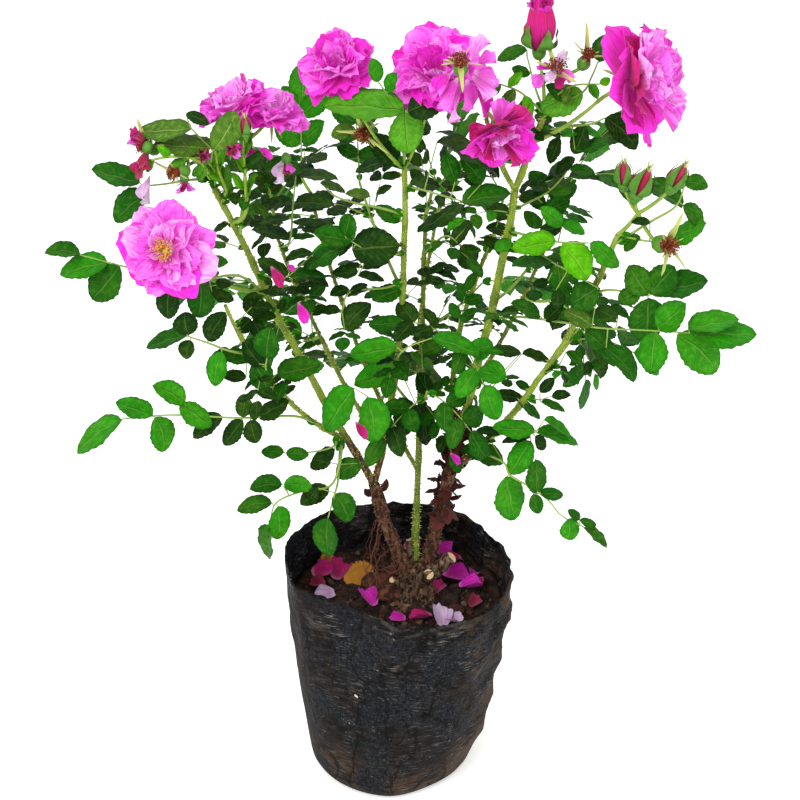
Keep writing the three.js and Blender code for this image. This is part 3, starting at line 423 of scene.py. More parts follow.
class StageSizes(bpy.types.PropertyGroup):
    floor: colour_property("Floor", "Plain pale floor", "f4f4f3")
    key: bpy.props.FloatProperty(
        name="Key light", description="Power of the main soft light", default=37, min=0, unit="POWER")
    fill: bpy.props.FloatProperty(
        name="Fill light", description="Power of the second soft light", default=11, min=0, unit="POWER")
    sky: bpy.props.FloatProperty(
        name="Sky", description="Strength of the even light from all round", default=0.86, min=0)


GROUPS = {"bag": BagSizes, "cane": CaneSizes, "leaf": LeafSizes, "blossom": BlossomSizes,
          "stage": StageSizes}


def sizes(group):
    return getattr(bpy.context.scene, "rose_" + group)


# ---------------------------------------------------------------- helpers


class Dice:
    """A run of numbers from 0 to 1 that is the same each time."""

    MODULUS = 2147483647

    def __init__(self, seed):
        self.state = (seed * 7919 + 104729) % self.MODULUS
        self.roll()
        self.roll()

    def roll(self):
        self.state = self.state * 48271 % self.MODULUS
        return self.state / self.MODULUS

    def spread(self, width):
        return (self.roll() * 2 - 1) * width

    def between(self, low, high):
        return low + (high - low) * self.roll()

    def pick(self, options):
        return options[min(int(self.roll() * len(options)), len(options) - 1)]


class Bend:
    """A curve between two points whose middle is moved off the straight line by bow."""

    def __init__(self, start, end, bow):
        self.start, self.end = start, end
        self.pull = (start + end) / 2 + bow * 2

    def at(self, share):
        rest = 1 - share
        return self.start * (rest * rest) + self.pull * (2 * share * rest) + self.end * (share * share)

    def ahead(self, share):
        return ((self.pull - self.start) * (1 - share) + (self.end - self.pull) * share).normalized()

    def length(self):
        return (self.pull - self.start).length / 2 + (self.end - self.pull).length / 2

    def points(self, count):
        return [self.at(i / (count - 1)) for i in range(count)]


def smooth(value, low, high):
    share = min(max((value - low) / (high - low), 0), 1)
    return share * share * (3 - 2 * share)


def blend(low, high, share):
    return low + (high - low) * share


def metres(lengths):
    return [length * MM for length in lengths]


def outward(angle):
    return Vector((math.cos(angle), math.sin(angle), 0))


def placed(x_axis, y_axis, z_axis, middle):
    """The matrix that turns a shape's axes into the given ones and moves it to middle."""
    turn = Matrix((x_axis, y_axis, z_axis)).transposed().to_4x4()
    turn.translation = middle
    return turn


def axes(middle, way, normal, size, width=1.0):
    """The matrix that puts a shape's Y along way and its Z along normal."""
    side = way.cross(normal).normalized()
    normal = side.cross(way).normalized()
    return placed(side * width * size, way * size, normal * size, middle)


def camera_axes():
    turn = math.radians(CAMERA_TURN)
    return Vector((0, math.sin(turn), -math.cos(turn))), Vector((0, math.cos(turn), math.sin(turn)))


def seen(u, v, y):
    """The point at depth y that shows at (u, v) of the frame, in millimetres."""
    ahead, up = camera_axes()
    across, down = (u - FRAME_SIDE / 2) / CAMERA_REACH, (v - FRAME_SIDE / 2) / CAMERA_REACH
    ray = ahead + Vector((across, 0, 0)) - up * down
    eye = Vector(CAMERA_AT)
    return eye + ray * ((y - eye.y) / ray.y)


def shown(point):
    """Where a point shows in the frame, and how far off it is."""
    ahead, up = camera_axes()
    offset = point - Vector(CAMERA_AT)
    far = offset.dot(ahead)
    across, rise = CAMERA_REACH * offset.x / far, CAMERA_REACH * offset.dot(up) / far
    return FRAME_SIDE / 2 + across, FRAME_SIDE / 2 - rise, far


def facing_blade(root, tip, width, full):
    """Turns a blade of full width, as a share of its length, until it shows as narrow as width."""
    way = tip - root
    length = way.length
    way.normalize()
    view = (Vector(CAMERA_AT) - root).normalized()
    view = (view - way * view.dot(way)).normalized()
    over = way.cross(view)
    if over.z < 0:
        over.negate()
    share = width * shown(root)[2] / CAMERA_REACH / (length * full)
    turn = math.acos(min(max(share, 0.2), 1) * 0.94)
    return way, view * math.cos(turn) + over * math.sin(turn), length, max(share, 1) * 1.03


def smooth_line(knots):
    """A rounded line through the knots."""
    line = []
    ends = [knots[0] * 2 - knots[1], *knots, knots[-1] * 2 - knots[-2]]
    for a, b, c, d in zip(ends, ends[1:], ends[2:], ends[3:]):
        for i in range(LINE_STEPS):
            t = i / LINE_STEPS
            line.append((b * 2 + (c - a) * t + (a * 2 - b * 5 + c * 4 - d) * t * t
                         + (b * 3 - a - c * 3 + d) * t ** 3) / 2)
    return [*line, knots[-1]]


def upright(way):
    """Any unit vector square to way."""
    helper = Vector((0.31, 0.93, 0.17))
    return helper.cross(way).normalized()


def around(way, turn):
    """The unit vector square to way at an angle round it."""
    first = upright(way)
    return first * math.cos(turn) + way.cross(first) * math.sin(turn)


def heading_of(turn, back):
    """The unit vector at an angle from +X towards +Z, tipped to the back."""
    return Vector((math.cos(turn) * math.cos(back), math.sin(back), math.sin(turn) * math.cos(back)))


def stand(middle, way, wide, high):
    """The matrix that stands a shape's Z along way, all from millimetres."""
    side = upright(way)
    wide, high = wide * MM, high * MM
    return placed(side * wide, way.cross(side) * wide, way * high, middle * MM)


class Shape:
    """A small mesh kept as arrays, so that many copies can be joined into one piece."""

    def __init__(self, bm):
        bm.verts.index_update()
        layer = bm.loops.layers.uv.active
        self.points = np.array([v.co[:] for v in bm.verts])
        self.corners = np.array([c.vert.index for f in bm.faces for c in f.loops])
        self.counts = np.array([len(f.verts) for f in bm.faces])
        pairs = [c[layer].uv[:] if layer else (0.5, 0.5) for f in bm.faces for c in f.loops]
        self.uvs = np.array(pairs)
        bm.free()


class Joined:
    """Copies of small shapes, collected and made into one mesh."""

    def __init__(self):
        self.points, self.corners, self.counts, self.uvs, self.paints = [], [], [], [], []
        self.total = 0

    def add(self, shape, matrix, paint_index=0):
        turn = np.array(matrix)
        self.points.append(shape.points @ turn[:3, :3].T + turn[:3, 3])
        self.corners.append(shape.corners + self.total)
        self.counts.append(shape.counts)
        self.uvs.append(shape.uvs)
        self.paints.append(np.full(len(shape.counts), paint_index))
        self.total += len(shape.points)

    def mesh(self, name):
        mesh = bpy.data.meshes.new(name)
        corners, counts = np.concatenate(self.corners), np.concatenate(self.counts)
        mesh.vertices.add(self.total)
        mesh.vertices.foreach_set("co", np.concatenate(self.points).astype(np.float32).ravel())
        mesh.loops.add(len(corners))
        mesh.loops.foreach_set("vertex_index", corners.astype(np.int32))
        mesh.polygons.add(len(counts))
        starts = np.concatenate([[0], np.cumsum(counts)[:-1]])
        mesh.polygons.foreach_set("loop_start", starts.astype(np.int32))
        mesh.polygons.foreach_set("material_index", np.concatenate(self.paints).astype(np.int32))
        layer = mesh.uv_layers.new(name="UVMap")
        layer.uv.foreach_set("vector", np.concatenate(self.uvs).astype(np.float32).ravel())
        mesh.update(calc_edges=True)
        mesh.validate()
        mesh.shade_smooth()
        return mesh


class Tubes:
    """Tapering tubes, each with its own paint, made into one mesh."""

    def __init__(self, name, roundness):
        self.curve = bpy.data.curves.new(name, "CURVE")
        self.curve.dimensions = "3D"
        self.curve.bevel_depth = 1
        self.curve.bevel_resolution = roundness
        self.curve.use_fill_caps = True
        self.paints = []

    def add(self, points, radii, paint_index=0):
        spline = self.curve.splines.new("POLY")
        spline.points.add(len(points) - 1)
        for i, (knot, point) in enumerate(zip(spline.points, points)):
            knot.co = (*point, 1)
            share = i / (len(points) - 1)
            knot.radius = radii(share) if callable(radii) else blend(*radii, share)
        spline.use_smooth = True
        self.paints.append(paint_index)

    def mesh(self, finishes):
        for finish in finishes:
            self.curve.materials.append(finish)
        for spline, paint_index in zip(self.curve.splines, self.paints):
            spline.material_index = paint_index
        holder = bpy.data.objects.new(self.curve.name, self.curve)
        bpy.context.scene.collection.objects.link(holder)
        depsgraph = bpy.context.evaluated_depsgraph_get()
        mesh = bpy.data.meshes.new_from_object(holder.evaluated_get(depsgraph))
        bpy.data.objects.remove(holder)
        return mesh


def put_up(name, mesh, finishes=(), replaced=()):
    """The finished piece, which rides with the bush."""
    for finish in finishes:
        mesh.materials.append(finish)
    mesh.name = name
    piece = bpy.data.objects.new(name, mesh)
    bpy.context.scene.collection.objects.link(piece)
    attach(piece, "root")
    if replaced:
        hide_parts(*replaced)
    return piece


def roughen(mesh, depth, grain, seed, flat_below=-1.0):
    """Moves each point along its normal by layered noise, for a relief that is real."""
    shift = Vector((seed * 3.7, seed * 1.3, seed * 2.9))
    for vertex in mesh.vertices:
        if vertex.co.z <= flat_below:
            continue
        swell = noise.fractal(vertex.co * grain + shift, 0.6, 2.1, 4)
        vertex.co += vertex.normal * (swell * depth)


def ringed(columns, rows, warp):
    """A closed solid of rings from its underside to its top, each point placed by warp(angle, row)."""
    bm = bmesh.new()
    bmesh.ops.create_circle(bm, cap_ends=True, segments=columns, radius=1)
    edges = list(bm.edges)
    for _ in range(rows - 1):
        made = bmesh.ops.extrude_edge_only(bm, edges=edges)["geom"]
        edges = [g for g in made if isinstance(g, bmesh.types.BMEdge)]
        fresh = [g for g in made if isinstance(g, bmesh.types.BMVert)]
        bmesh.ops.translate(bm, vec=(0, 0, 1), verts=fresh)
    bmesh.ops.contextual_create(bm, geom=edges)
    for vertex in bm.verts:
        vertex.co = warp(math.atan2(vertex.co.y, vertex.co.x), round(vertex.co.z))
    bmesh.ops.recalc_face_normals(bm, faces=bm.faces)
    return bm


def mesh_of(bm, name, is_smooth=True):
    mesh = bpy.data.meshes.new(name)
    bm.to_mesh(mesh)
    bm.free()
    if is_smooth:
        mesh.shade_smooth()
    return mesh


def lay_flat(bm, layer, flat):
    """Gives each corner of a blade the UV of its vertex's place across and along it."""
    for face in bm.faces:
        for corner in face.loops:
            across, along = flat[corner.vert]
            corner[layer].uv = (across / 2 + 0.5, along)


# ---------------------------------------------------------------- finishes


class Wire:
    """A node's output. Python's operators on it add Math nodes."""

    def __init__(self, finish, socket):
        self.finish, self.socket = finish, socket

    def __add__(self, other):
        return self.finish.math("ADD", self, other)

    def __sub__(self, other):
        return self.finish.math("SUBTRACT", self, other)

    def __rsub__(self, other):
        return self.finish.math("SUBTRACT", other, self)

    def __mul__(self, other):
        return self.finish.math("MULTIPLY", self, other)

    __radd__ = __add__
    __rmul__ = __mul__

    def __abs__(self):
        return self.finish.math("ABSOLUTE", self)


class Finish:
    """A material that is written as expressions on Wires."""

    def __init__(self, name, specular, sheen=0.0):
        self.material = bpy.data.materials.new(name)
        self.material.use_nodes = True
        self.tree = self.material.node_tree
        self.shader = self.tree.nodes["Principled BSDF"]
        self.shader.inputs["Sheen Weight"].default_value = sheen
        self.shader.inputs["Specular IOR Level"].default_value = specular

    def plug(self, socket, value):
        if isinstance(value, Wire):
            self.tree.links.new(value.socket, socket)
        elif isinstance(value, (tuple, list)) and len(socket.default_value) == 4:
            socket.default_value = (*value, 1)
        else:
            socket.default_value = value

    def node(self, kind, settings=None, sockets=None, output=0):
        made = self.tree.nodes.new("ShaderNode" + kind)
        for key, value in (settings or {}).items():
            setattr(made, key, value)
        for key, value in (sockets or {}).items():
            self.plug(made.inputs[key], value)
        return Wire(self, made.outputs[output])

    def math(self, operation, *values):
        return self.node("Math", {"operation": operation}, dict(enumerate(values)))

    def mix(self, factor, low, high):
        return self.node("Mix", {"data_type": "RGBA"}, {0: factor, 6: low, 7: high}, 2)

    def rise(self, value, low, high):
        """0 below low and 1 above high, smooth between them."""
        return self.node("MapRange", {"interpolation_type": "SMOOTHSTEP"},
                         {"Value": value, "From Min": low, "From Max": high})

    def place(self, stretch=(1, 1, 1)):
        spot = self.node("TexCoord", output=3)
        return self.node("Mapping", sockets={"Vector": spot, "Scale": stretch})

    def speckle(self, scale, stretch=(1, 1, 1), detail=3.0, vector=None):
        return self.node("TexNoise", sockets={"Vector": vector or self.place(stretch), "Scale": scale,
                                              "Detail": detail})

    def part(self, vector, axis):
        return self.node("SeparateXYZ", sockets={0: vector}, output=axis)

    def done(self, colour, roughness, height=None, depth=0.0, glow=0.0):
        self.plug(self.shader.inputs["Base Color"], colour)
        # Emission in the surface's own colour: on leaves and petals a painted glow that stands in for light
        # through the thin blade and lifts its shade; on the floor it keeps the floor evenly bright.
        if glow:  # light that comes through a thin blade
            self.plug(self.shader.inputs["Emission Color"], colour)
            self.shader.inputs["Emission Strength"].default_value = glow
        self.plug(self.shader.inputs["Roughness"], roughness)
        if height is not None:
            bump = self.node("Bump", sockets={"Height": height, "Distance": depth, "Strength": 1.0})
            self.plug(self.shader.inputs["Normal"], bump)
        return self.material


def tint(colour, share, other=(0, 0, 0)):
    return tuple(blend(a, b, share) for a, b in zip(colour, other))


def bag_finish():
    """Matte woven plastic: fine level threads, dust near the rim and mud low down."""
    own = sizes("bag")
    f = Finish("woven bag", specular=0.07)
    spot = f.place()
    side, up = f.part(spot, 0), f.part(spot, 2)
    threads = f.speckle(1, (260, 260, 1500), 2)
    uprights = f.speckle(1, (1100, 1100, 220), 1)
    patches = f.speckle(24, detail=8)
    scuffs = f.speckle(1, (90, 90, 260), 6)
    near_rim = f.rise(up, 0.115, 0.182)
    low = 1 - f.rise(up, 0.004, 0.06)
    right = f.rise(side, 0.03, 0.08)
    weave = threads * 0.6 + uprights * 0.4
    cloth = f.mix(f.rise(weave, 0.42, 0.66) * 0.6, tuple(own.cloth), tint(own.cloth, 0.07, (0.7, 0.8, 1)))
    cloth = f.mix(f.rise(patches, 0.47, 0.56) * 0.85, cloth, tint(own.cloth, 0.8))
    hues = f.speckle(11, detail=5)
    cloth = f.mix(f.rise(hues, 0.42, 0.62) * 0.6, cloth, paint("171114"))
    cloth = f.mix((1 - f.rise(hues, 0.34, 0.46)) * 0.35, cloth, paint("0f1415"))
    dusty = f.rise(patches * 0.8 + scuffs * 0.7 + weave * 0.3, 0.9, 1.2)
    dusty = dusty * (0.32 + near_rim * 0.95 + right * 0.25)
    cloth = f.mix(dusty, cloth, tuple(own.dust))
    muddy = f.rise(patches * 0.7 + scuffs * 0.5 + weave * 0.2, 0.6, 0.9) * (0.16 + right * 1.1 + low * 1.3)
    cloth = f.mix(f.math("MINIMUM", muddy, 0.85), cloth, tuple(own.mud))
    scratch = f.rise(f.speckle(1, (120, 120, 1000), 4), 0.56, 0.68)
    scratch = scratch * f.rise(f.speckle(34, detail=5), 0.47, 0.58)
    cloth = f.mix(scratch * (0.35 + near_rim * 0.5 + right * 0.3), cloth, (0.2, 0.19, 0.18))
    # Painted shade: thin dark lines stand for the shade in the cloth's creases.
    crease = f.speckle(1, (26, 26, 14), 4)
    cloth = f.mix((1 - f.rise(abs(crease - 0.5), 0.0, 0.03)) * 0.75, cloth, tint(own.cloth, 0.9))
    fleck = f.rise(f.speckle(520, detail=1), 0.7, 0.75) * f.rise(scuffs, 0.5, 0.64)
    cloth = f.mix(fleck * 0.6, cloth, (0.36, 0.34, 0.32))
    return f.done(cloth, 0.62 + dusty * 0.3, weave * 0.8 + patches * 0.6 + scuffs * 0.8, 0.0026)


def soil_finish(name, dark, light):
    f = Finish(name, specular=0.25)
    lumps = f.speckle(160, detail=8)
    grit = f.speckle(900, detail=3)
    colour = f.mix(f.rise(lumps, 0.4, 0.62), dark, light)
    colour = f.mix(f.rise(grit, 0.6, 0.75) * 0.4, colour, tint(light, 0.35, (0.5, 0.4, 0.3)))
    return f.done(colour, 0.95, lumps + grit * 0.4, 0.0016)


def bark_finish(name, light, dark, pale):
    """Ripe bark: brown with dark cracks along the cane and pale scars."""
    f = Finish(name, specular=0.15)
    grain = f.speckle(1, (420, 420, 130), 6)
    scars = f.speckle(1, (210, 210, 260), 5)
    blots = f.speckle(55, detail=4)
    colour = f.mix(f.rise(grain, 0.42, 0.58), dark, light)
    colour = f.mix(f.rise(scars, 0.54, 0.68) * 0.5, colour, pale)
    colour = f.mix(f.rise(blots, 0.5, 0.7) * 0.45, colour, dark)
    return f.done(colour, 0.82, grain + scars * 0.6, 0.0009)


def green_bark_finish(name, green, browning):
    """Young bark: yellow-green, lined along the cane, browner low down."""
    f = Finish(name, specular=0.14)
    up = f.part(f.place(), 2)
    lines = f.speckle(1, (900, 900, 60), 3)
    blots = f.speckle(75, detail=5)
    colour = f.mix(f.rise(lines, 0.35, 0.7) * 0.6, green, tint(green, 0.22, (0.75, 0.8, 0.35)))
    colour = f.mix(f.rise(blots, 0.44, 0.62) * 0.75, colour, tint(green, 0.62, (0.05, 0.09, 0.02)))
    brown = 1 - f.rise(up + f.speckle(40) * 0.05, 0.312, 0.336)
    rough = f.speckle(1, (420, 420, 130), 6)
    ripe = f.mix(f.rise(rough, 0.42, 0.6), paint("2f1c13"), paint("74503a"))
    colour = f.mix(brown * browning, colour, ripe)
    return f.done(colour, 0.6, lines + blots * 0.4, 0.0004)


def leaf_finish(name, green, vein, roughness=0.46):
    """A leaflet: midrib and side veins lighter than the blade, which is quilted between them."""
    f = Finish(name, specular=0.06)
    spot = f.node("UVMap")
    across, along = abs(f.part(spot, 0) * 2 - 1), f.part(spot, 1)
    midrib = 1 - f.rise(across, 0.03, 0.1)
    wave = f.math("FRACT", along * 8.5 - across * 2.6 + 3 + f.speckle(40) * 0.8)
    side_vein = 1 - f.rise(abs(wave - 0.5), 0.02, 0.16)
    veins = f.math("MAXIMUM", midrib, side_vein * 0.35)
    blots = f.speckle(70, detail=3)
    wide = f.speckle(24, detail=2)
    colour = f.mix(f.rise(blots, 0.35, 0.7) * 0.6, green, tint(green, 0.5))
    colour = f.mix(f.rise(wide, 0.4, 0.66) * 0.4, colour, tint(green, 0.22, (0.24, 0.5, 0.02)))
    fine = f.speckle(300, detail=5)
    colour = f.mix(f.rise(fine, 0.44, 0.6) * 0.45, colour, tint(green, 0.45))
    # Painted sheen: small lighter speckles towards the vein colour; the darker speckles above are mottling.
    colour = f.mix((1 - f.rise(fine, 0.34, 0.46)) * 0.14, colour, vein)
    # Painted shade: the blade darkens towards its edges, as if they curved away from the light.
    colour = f.mix(f.rise(across, 0.62, 1.0) * 0.6, colour, tint(green, 0.55))
    colour = f.mix(veins * 0.34, colour, vein)
    # The blade glows faintly in its own colour, as painted light.
    return f.done(colour, roughness + veins * 0.1, blots * 0.6 - veins, 0.0008, 0.05)


def petal_finish(name, colour, throat, edge, shade_colour, glow=0.18):
    """A petal: paler at its foot, darker in its middle as painted shade where the rings overlap, streaked
    along it by deeper lines that are partly painted shade in its folds, and uneven all over.
    """
    f = Finish(name, sheen=0.1, specular=0.22)
    spot = f.node("UVMap")
    across, along = f.part(spot, 0), f.part(spot, 1)
    fan = f.node("CombineXYZ", sockets={0: across * 15, 1: along * 1.3})
    lines = f.speckle(1, vector=fan, detail=4)
    veins = f.speckle(1, vector=f.node("CombineXYZ", sockets={0: across * 42, 1: along * 2.4}), detail=2)
    blots = f.speckle(95, detail=3)
    shade = f.mix(f.rise(blots, 0.36, 0.66) * 0.5, colour, edge)
    # Painted shade: the petal's middle, where the rings overlap, is darkened towards the shade colour.
    shade = f.mix((1 - f.rise(along, 0.3, 0.8)) * 0.5, shade, shade_colour)
    shade = f.mix((1 - f.rise(along, 0.02, 0.22)) * 0.7, shade, throat)
    shade = f.mix(f.rise(along, 0.82, 1.0) * 0.45, shade, edge)
    # Deeper streaks along the petal, partly real streaks and partly painted shade in its folds.
    shade = f.mix(f.rise(lines, 0.46, 0.66) * 0.7, shade, shade_colour)
    shade = f.mix(f.rise(veins, 0.5, 0.72) * 0.35, shade, shade_colour)
    # The petal glows in its own colour, as painted light that lifts its shade.
    return f.done(shade, 0.6, lines + veins * 0.5, 0.0014, glow)


def plain_finish(name, code, roughness, grain=220):
    """A small part with a little mottling."""
    f = Finish(name, specular=0.35)
    blots = f.speckle(grain, detail=3)
    colour = f.mix(f.rise(blots, 0.35, 0.7) * 0.45, paint(code), tint(paint(code), 0.4))
    return f.done(colour, roughness, blots, 0.0003)


# ---------------------------------------------------------------- bag and soil


def rim_radius(angle):
    count = len(BAG_RIM_RADII)
    place = (angle / (2 * math.pi) * count + count) % count
    first = math.floor(place)
    ease = (1 - math.cos((place - first) * math.pi)) / 2
    return blend(BAG_RIM_RADII[first % count], BAG_RIM_RADII[(first + 1) % count], ease)


def bag_point(angle, height, inset, radius_share=1.0):
    """A point of the bag's wall, in millimetres, before its folds."""
    rim = BAG_RIM_RADII[0]
    share = min(max(height / BAG_HEIGHT, 0), 1)
    radius = (BAG_FOOT_RADIUS + (rim - BAG_FOOT_RADIUS) * share ** 0.62 - inset) * radius_share
    to_rim = smooth(share, 0, 1)
    stretch = 1 + (rim_radius(angle) / rim - 1) * to_rim
    above_soil = smooth(height, SOIL_TOP + 4, BAG_HEIGHT)
    tilt = BAG_RIM_TILT * math.cos(angle - math.radians(BAG_RIM_HIGH_SIDE)) * above_soil * radius / rim
    return Vector((math.cos(angle) * radius * stretch + BAG_FOOT_SHIFT * (1 - to_rim),
                   math.sin(angle) * radius * stretch, height + tilt))


def fold_of(angle, height):
    """How far the soft wall stands out, from -1 to 1."""
    out = outward(angle)
    upright_folds = noise.noise(out * 2.6 + Vector((0, 0, height / 120)))
    crumple = noise.fractal(out * 4.5 + Vector((2, 5, height / 34)), 0.7, 2.2, 3)
    diagonal = noise.noise(Vector((angle * 2.4 + height / 42, height / 90, 7)))
    ridge = 1 - abs(diagonal) * 3
    on_right = smooth(math.cos(angle - 0.1), 0.5, 0.95)
    slanting = 0.0
    for first, low, last, high, rise in BAG_FOLDS:
        along = Vector((math.radians(last - first) * FOLD_RADIUS, high - low))
        arc = math.remainder(angle - math.radians(first), 2 * math.pi) * FOLD_RADIUS
        place = Vector((arc, height - low))
        share = min(max(place.dot(along) / along.length_squared, 0), 1)
        gap = (place - along * share).length / (4.5 + 3 * share)
        profile = math.exp(-gap * gap) - 0.45 * math.exp(-(gap - 2) ** 2)  # a ridge beside a furrow
        slanting += rise * math.sin(math.pi * (0.12 + 0.76 * share)) * profile
    return upright_folds * 0.8 + crumple * 0.5 + max(ridge, 0) * (0.15 + on_right * 0.7) - 0.3 + slanting


def build_bag():
    own = sizes("bag")
    height = own.height / MM
    levels = [0, 1.5, 4, 8, 13, 19, 25, *range(31, 172, 5), 175, 178.5, 181.5, height]
    rows = [*((level, 0) for level in levels), (height, 1.3), *BAG_INSIDE]
    fold, fray = own.fold_depth / MM, own.fray / MM

    def warp(angle, row):
        level, inset = rows[row]
        point = bag_point(angle, level, inset)
        out = outward(angle)
        soft = smooth(level, 0, 30) * (0.45 + 0.55 * smooth(level, 60, 180))
        point += out * (fold_of(angle, level) * fold * soft)
        if level < 9:
            point -= out * (4.5 * (1 - level / 9) ** 2)
        corner = smooth(math.cos(angle + 0.5), 0.35, 0.95) * (1 - smooth(level, 6, 46))
        point -= out * (7 * corner)
        torn = noise.noise(Vector((math.cos(angle) * 9, math.sin(angle) * 9, 1)))
        torn += 0.7 * noise.noise(Vector((math.cos(angle) * 34, math.sin(angle) * 34, 5)))
        point.z += torn * fray * smooth(level, 172, height)
        return point * MM

    mesh = mesh_of(ringed(180, len(rows), warp), "grow_bag_skin")
    put_up("grow_bag_skin", mesh, [bag_finish()], ["grow_bag"])

    threads = Tubes("frayed_threads", 0)
    dice = Dice(31)
    for _ in range(THREADS):
        angle = dice.between(-math.pi, math.pi)
        foot = bag_point(angle, height - 0.6, 0.6)
        foot += outward(angle) * fold_of(angle, height) * fold
        reach = dice.between(1.5, 5)
        tip = foot + Vector((dice.spread(3.5), dice.spread(3.5), dice.between(-0.4, 0.75) * reach))
        bend = Bend(foot * MM, tip * MM, Vector((dice.spread(1), dice.spread(1), dice.roll())) * MM)
        threads.add(bend.points(4), (0.16 * MM, 0.08 * MM))
    scrap_ends = [(math.radians(-115), 104), (math.radians(-113), 103)]
    scrap = [bag_point(angle, up, -1.5 - fold_of(angle, up) * fold) for angle, up in scrap_ends]
    threads.add(metres(scrap), (1.1 * MM, 0.8 * MM), 1)
    finishes = [plain_finish("frayed thread", "3a3a3d", 0.8), plain_finish("pale scrap", "d8cfc6", 0.8)]
    put_up("frayed_threads", threads.mesh(finishes))


def soil_height(x, y):
    """Height of the soil, in millimetres."""
    spot = Vector((x, y, 0))
    from_crown = math.hypot(x - CROWN_AT[0], y - CROWN_AT[1])
    lumps = noise.fractal(spot / 17, 0.8, 2.1, 5) * 2.6
    mound = 3.5 * math.sin(x * 0.13 + 1) * math.cos(y * 0.11) * smooth(from_crown, 20, 55)
    return SOIL_TOP + 1.5 + lumps + mound + 5 * (1 - smooth(from_crown, 10, 34))


def build_soil():
    # Height and share of the bag's radius of each ring, up the wall and then in over the top.
    top = [0.985, *(percent / 100 for percent in range(95, 0, -4))]
    rows = [(5, 0.8), (50, 0.95), (110, 0.985), (140, 0.985), *((None, share) for share in top)]

    def warp(angle, row):
        level, share = rows[row]
        point = bag_point(angle, level or SOIL_TOP, 2.4, share)
        if level is None:
            point.z = soil_height(point.x, point.y)
        return point * MM

    bm = ringed(120, len(rows), warp)
    ground = soil_finish("potting soil", tuple(sizes("bag").soil), paint("3a2219"))
    put_up("potting_soil", mesh_of(bm, "potting_soil"), [ground], ["soil"])

    clods = [clod_shape(seed) for seed in range(5)]
    crumbs = Joined()
    dice = Dice(77)
    for _ in range(CRUMBS):
        angle, share = dice.between(-math.pi, math.pi), math.sqrt(dice.roll()) * 0.93
        point = bag_point(angle, SOIL_TOP, 5, share)
        size = dice.between(0.6, 1.8) if dice.roll() < 0.88 else dice.between(1.8, 3.6)
        point.z = soil_height(point.x, point.y) + size * 0.2
        way = Vector((dice.spread(1), dice.spread(1), dice.spread(0.5) + 0.01)).normalized()
        scale = axes(point * MM, way, upright(way), size * MM, dice.between(0.6, 1.3))
        crumbs.add(dice.pick(clods), scale, dice.pick([0, 0, 0, 1, 1, 2]))
    for x, y, size in CLODS:
        spot = Vector((x, y, soil_height(x, y) + size * 0.1))
        crumbs.add(dice.pick(clods), axes(spot * MM, Vector((0.8, 0.5, 0.2)).normalized(),
                                          Vector((0, 0, 1)), size * MM), dice.pick([0, 1]))
    for x, y, z, size in LUMPS:
        spot = Vector((x, y, soil_height(x, y) + z))
        crumbs.add(dice.pick(clods), axes(spot * MM, Vector((dice.spread(1), 0.5, 0.2)).normalized(),
                                          Vector((0, 0, 1)), size * MM), 3)
    put_up("soil_crumbs", crumbs.mesh("soil_crumbs"),
           [soil_finish("dark crumb", paint("18100c"), paint("33211a")),
            soil_finish("brown crumb", paint("2e1b14"), paint("4e2c20")),
            soil_finish("pale crumb", paint("4a382c"), paint("6a5443")),
            soil_finish("root lump", paint("2e1a12"), paint("6a3d2a"))])


def clod_shape(seed):
    bm = bmesh.new()
    bmesh.ops.create_icosphere(bm, subdivisions=2, radius=1)
    for vertex in bm.verts:
        swell = 1 + 0.45 * noise.fractal(vertex.co * 1.3 + Vector((seed * 5, 1, 2)), 0.8, 2, 3)
        vertex.co = Vector((vertex.co.x, vertex.co.y, vertex.co.z * 0.75)) * swell
    return Shape(bm)


# ---------------------------------------------------------------- canes


def limb_curves():
    curves = {}
    for name, _, start, tip, bow, _ in LIMBS:
        if isinstance(start[0], str):
            foot = curves[start[0]].at(start[1])
        else:
            foot = Vector(start)
        curves[name] = Bend(foot, Vector(tip), Vector(bow))
    return curves


CURVES = limb_curves()


def prickle_shape():
    bm = bmesh.new()
    bmesh.ops.create_cone(bm, cap_ends=False, segments=4, radius1=1, radius2=0.02, depth=1)
    bmesh.ops.translate(bm, vec=(0, 0, 0.5), verts=bm.verts)
    for vertex in bm.verts:
        vertex.co.y -= 0.25 * vertex.co.z ** 2
    return Shape(bm)


def node_places(curve, name):
    """Shares of a cane's length at which it is a little swollen."""
    dice = Dice(sum(map(ord, name)))
    count = max(2, int(curve.length() / 27))
    return [(i + 0.5 + dice.spread(0.2)) / count for i in range(count)]


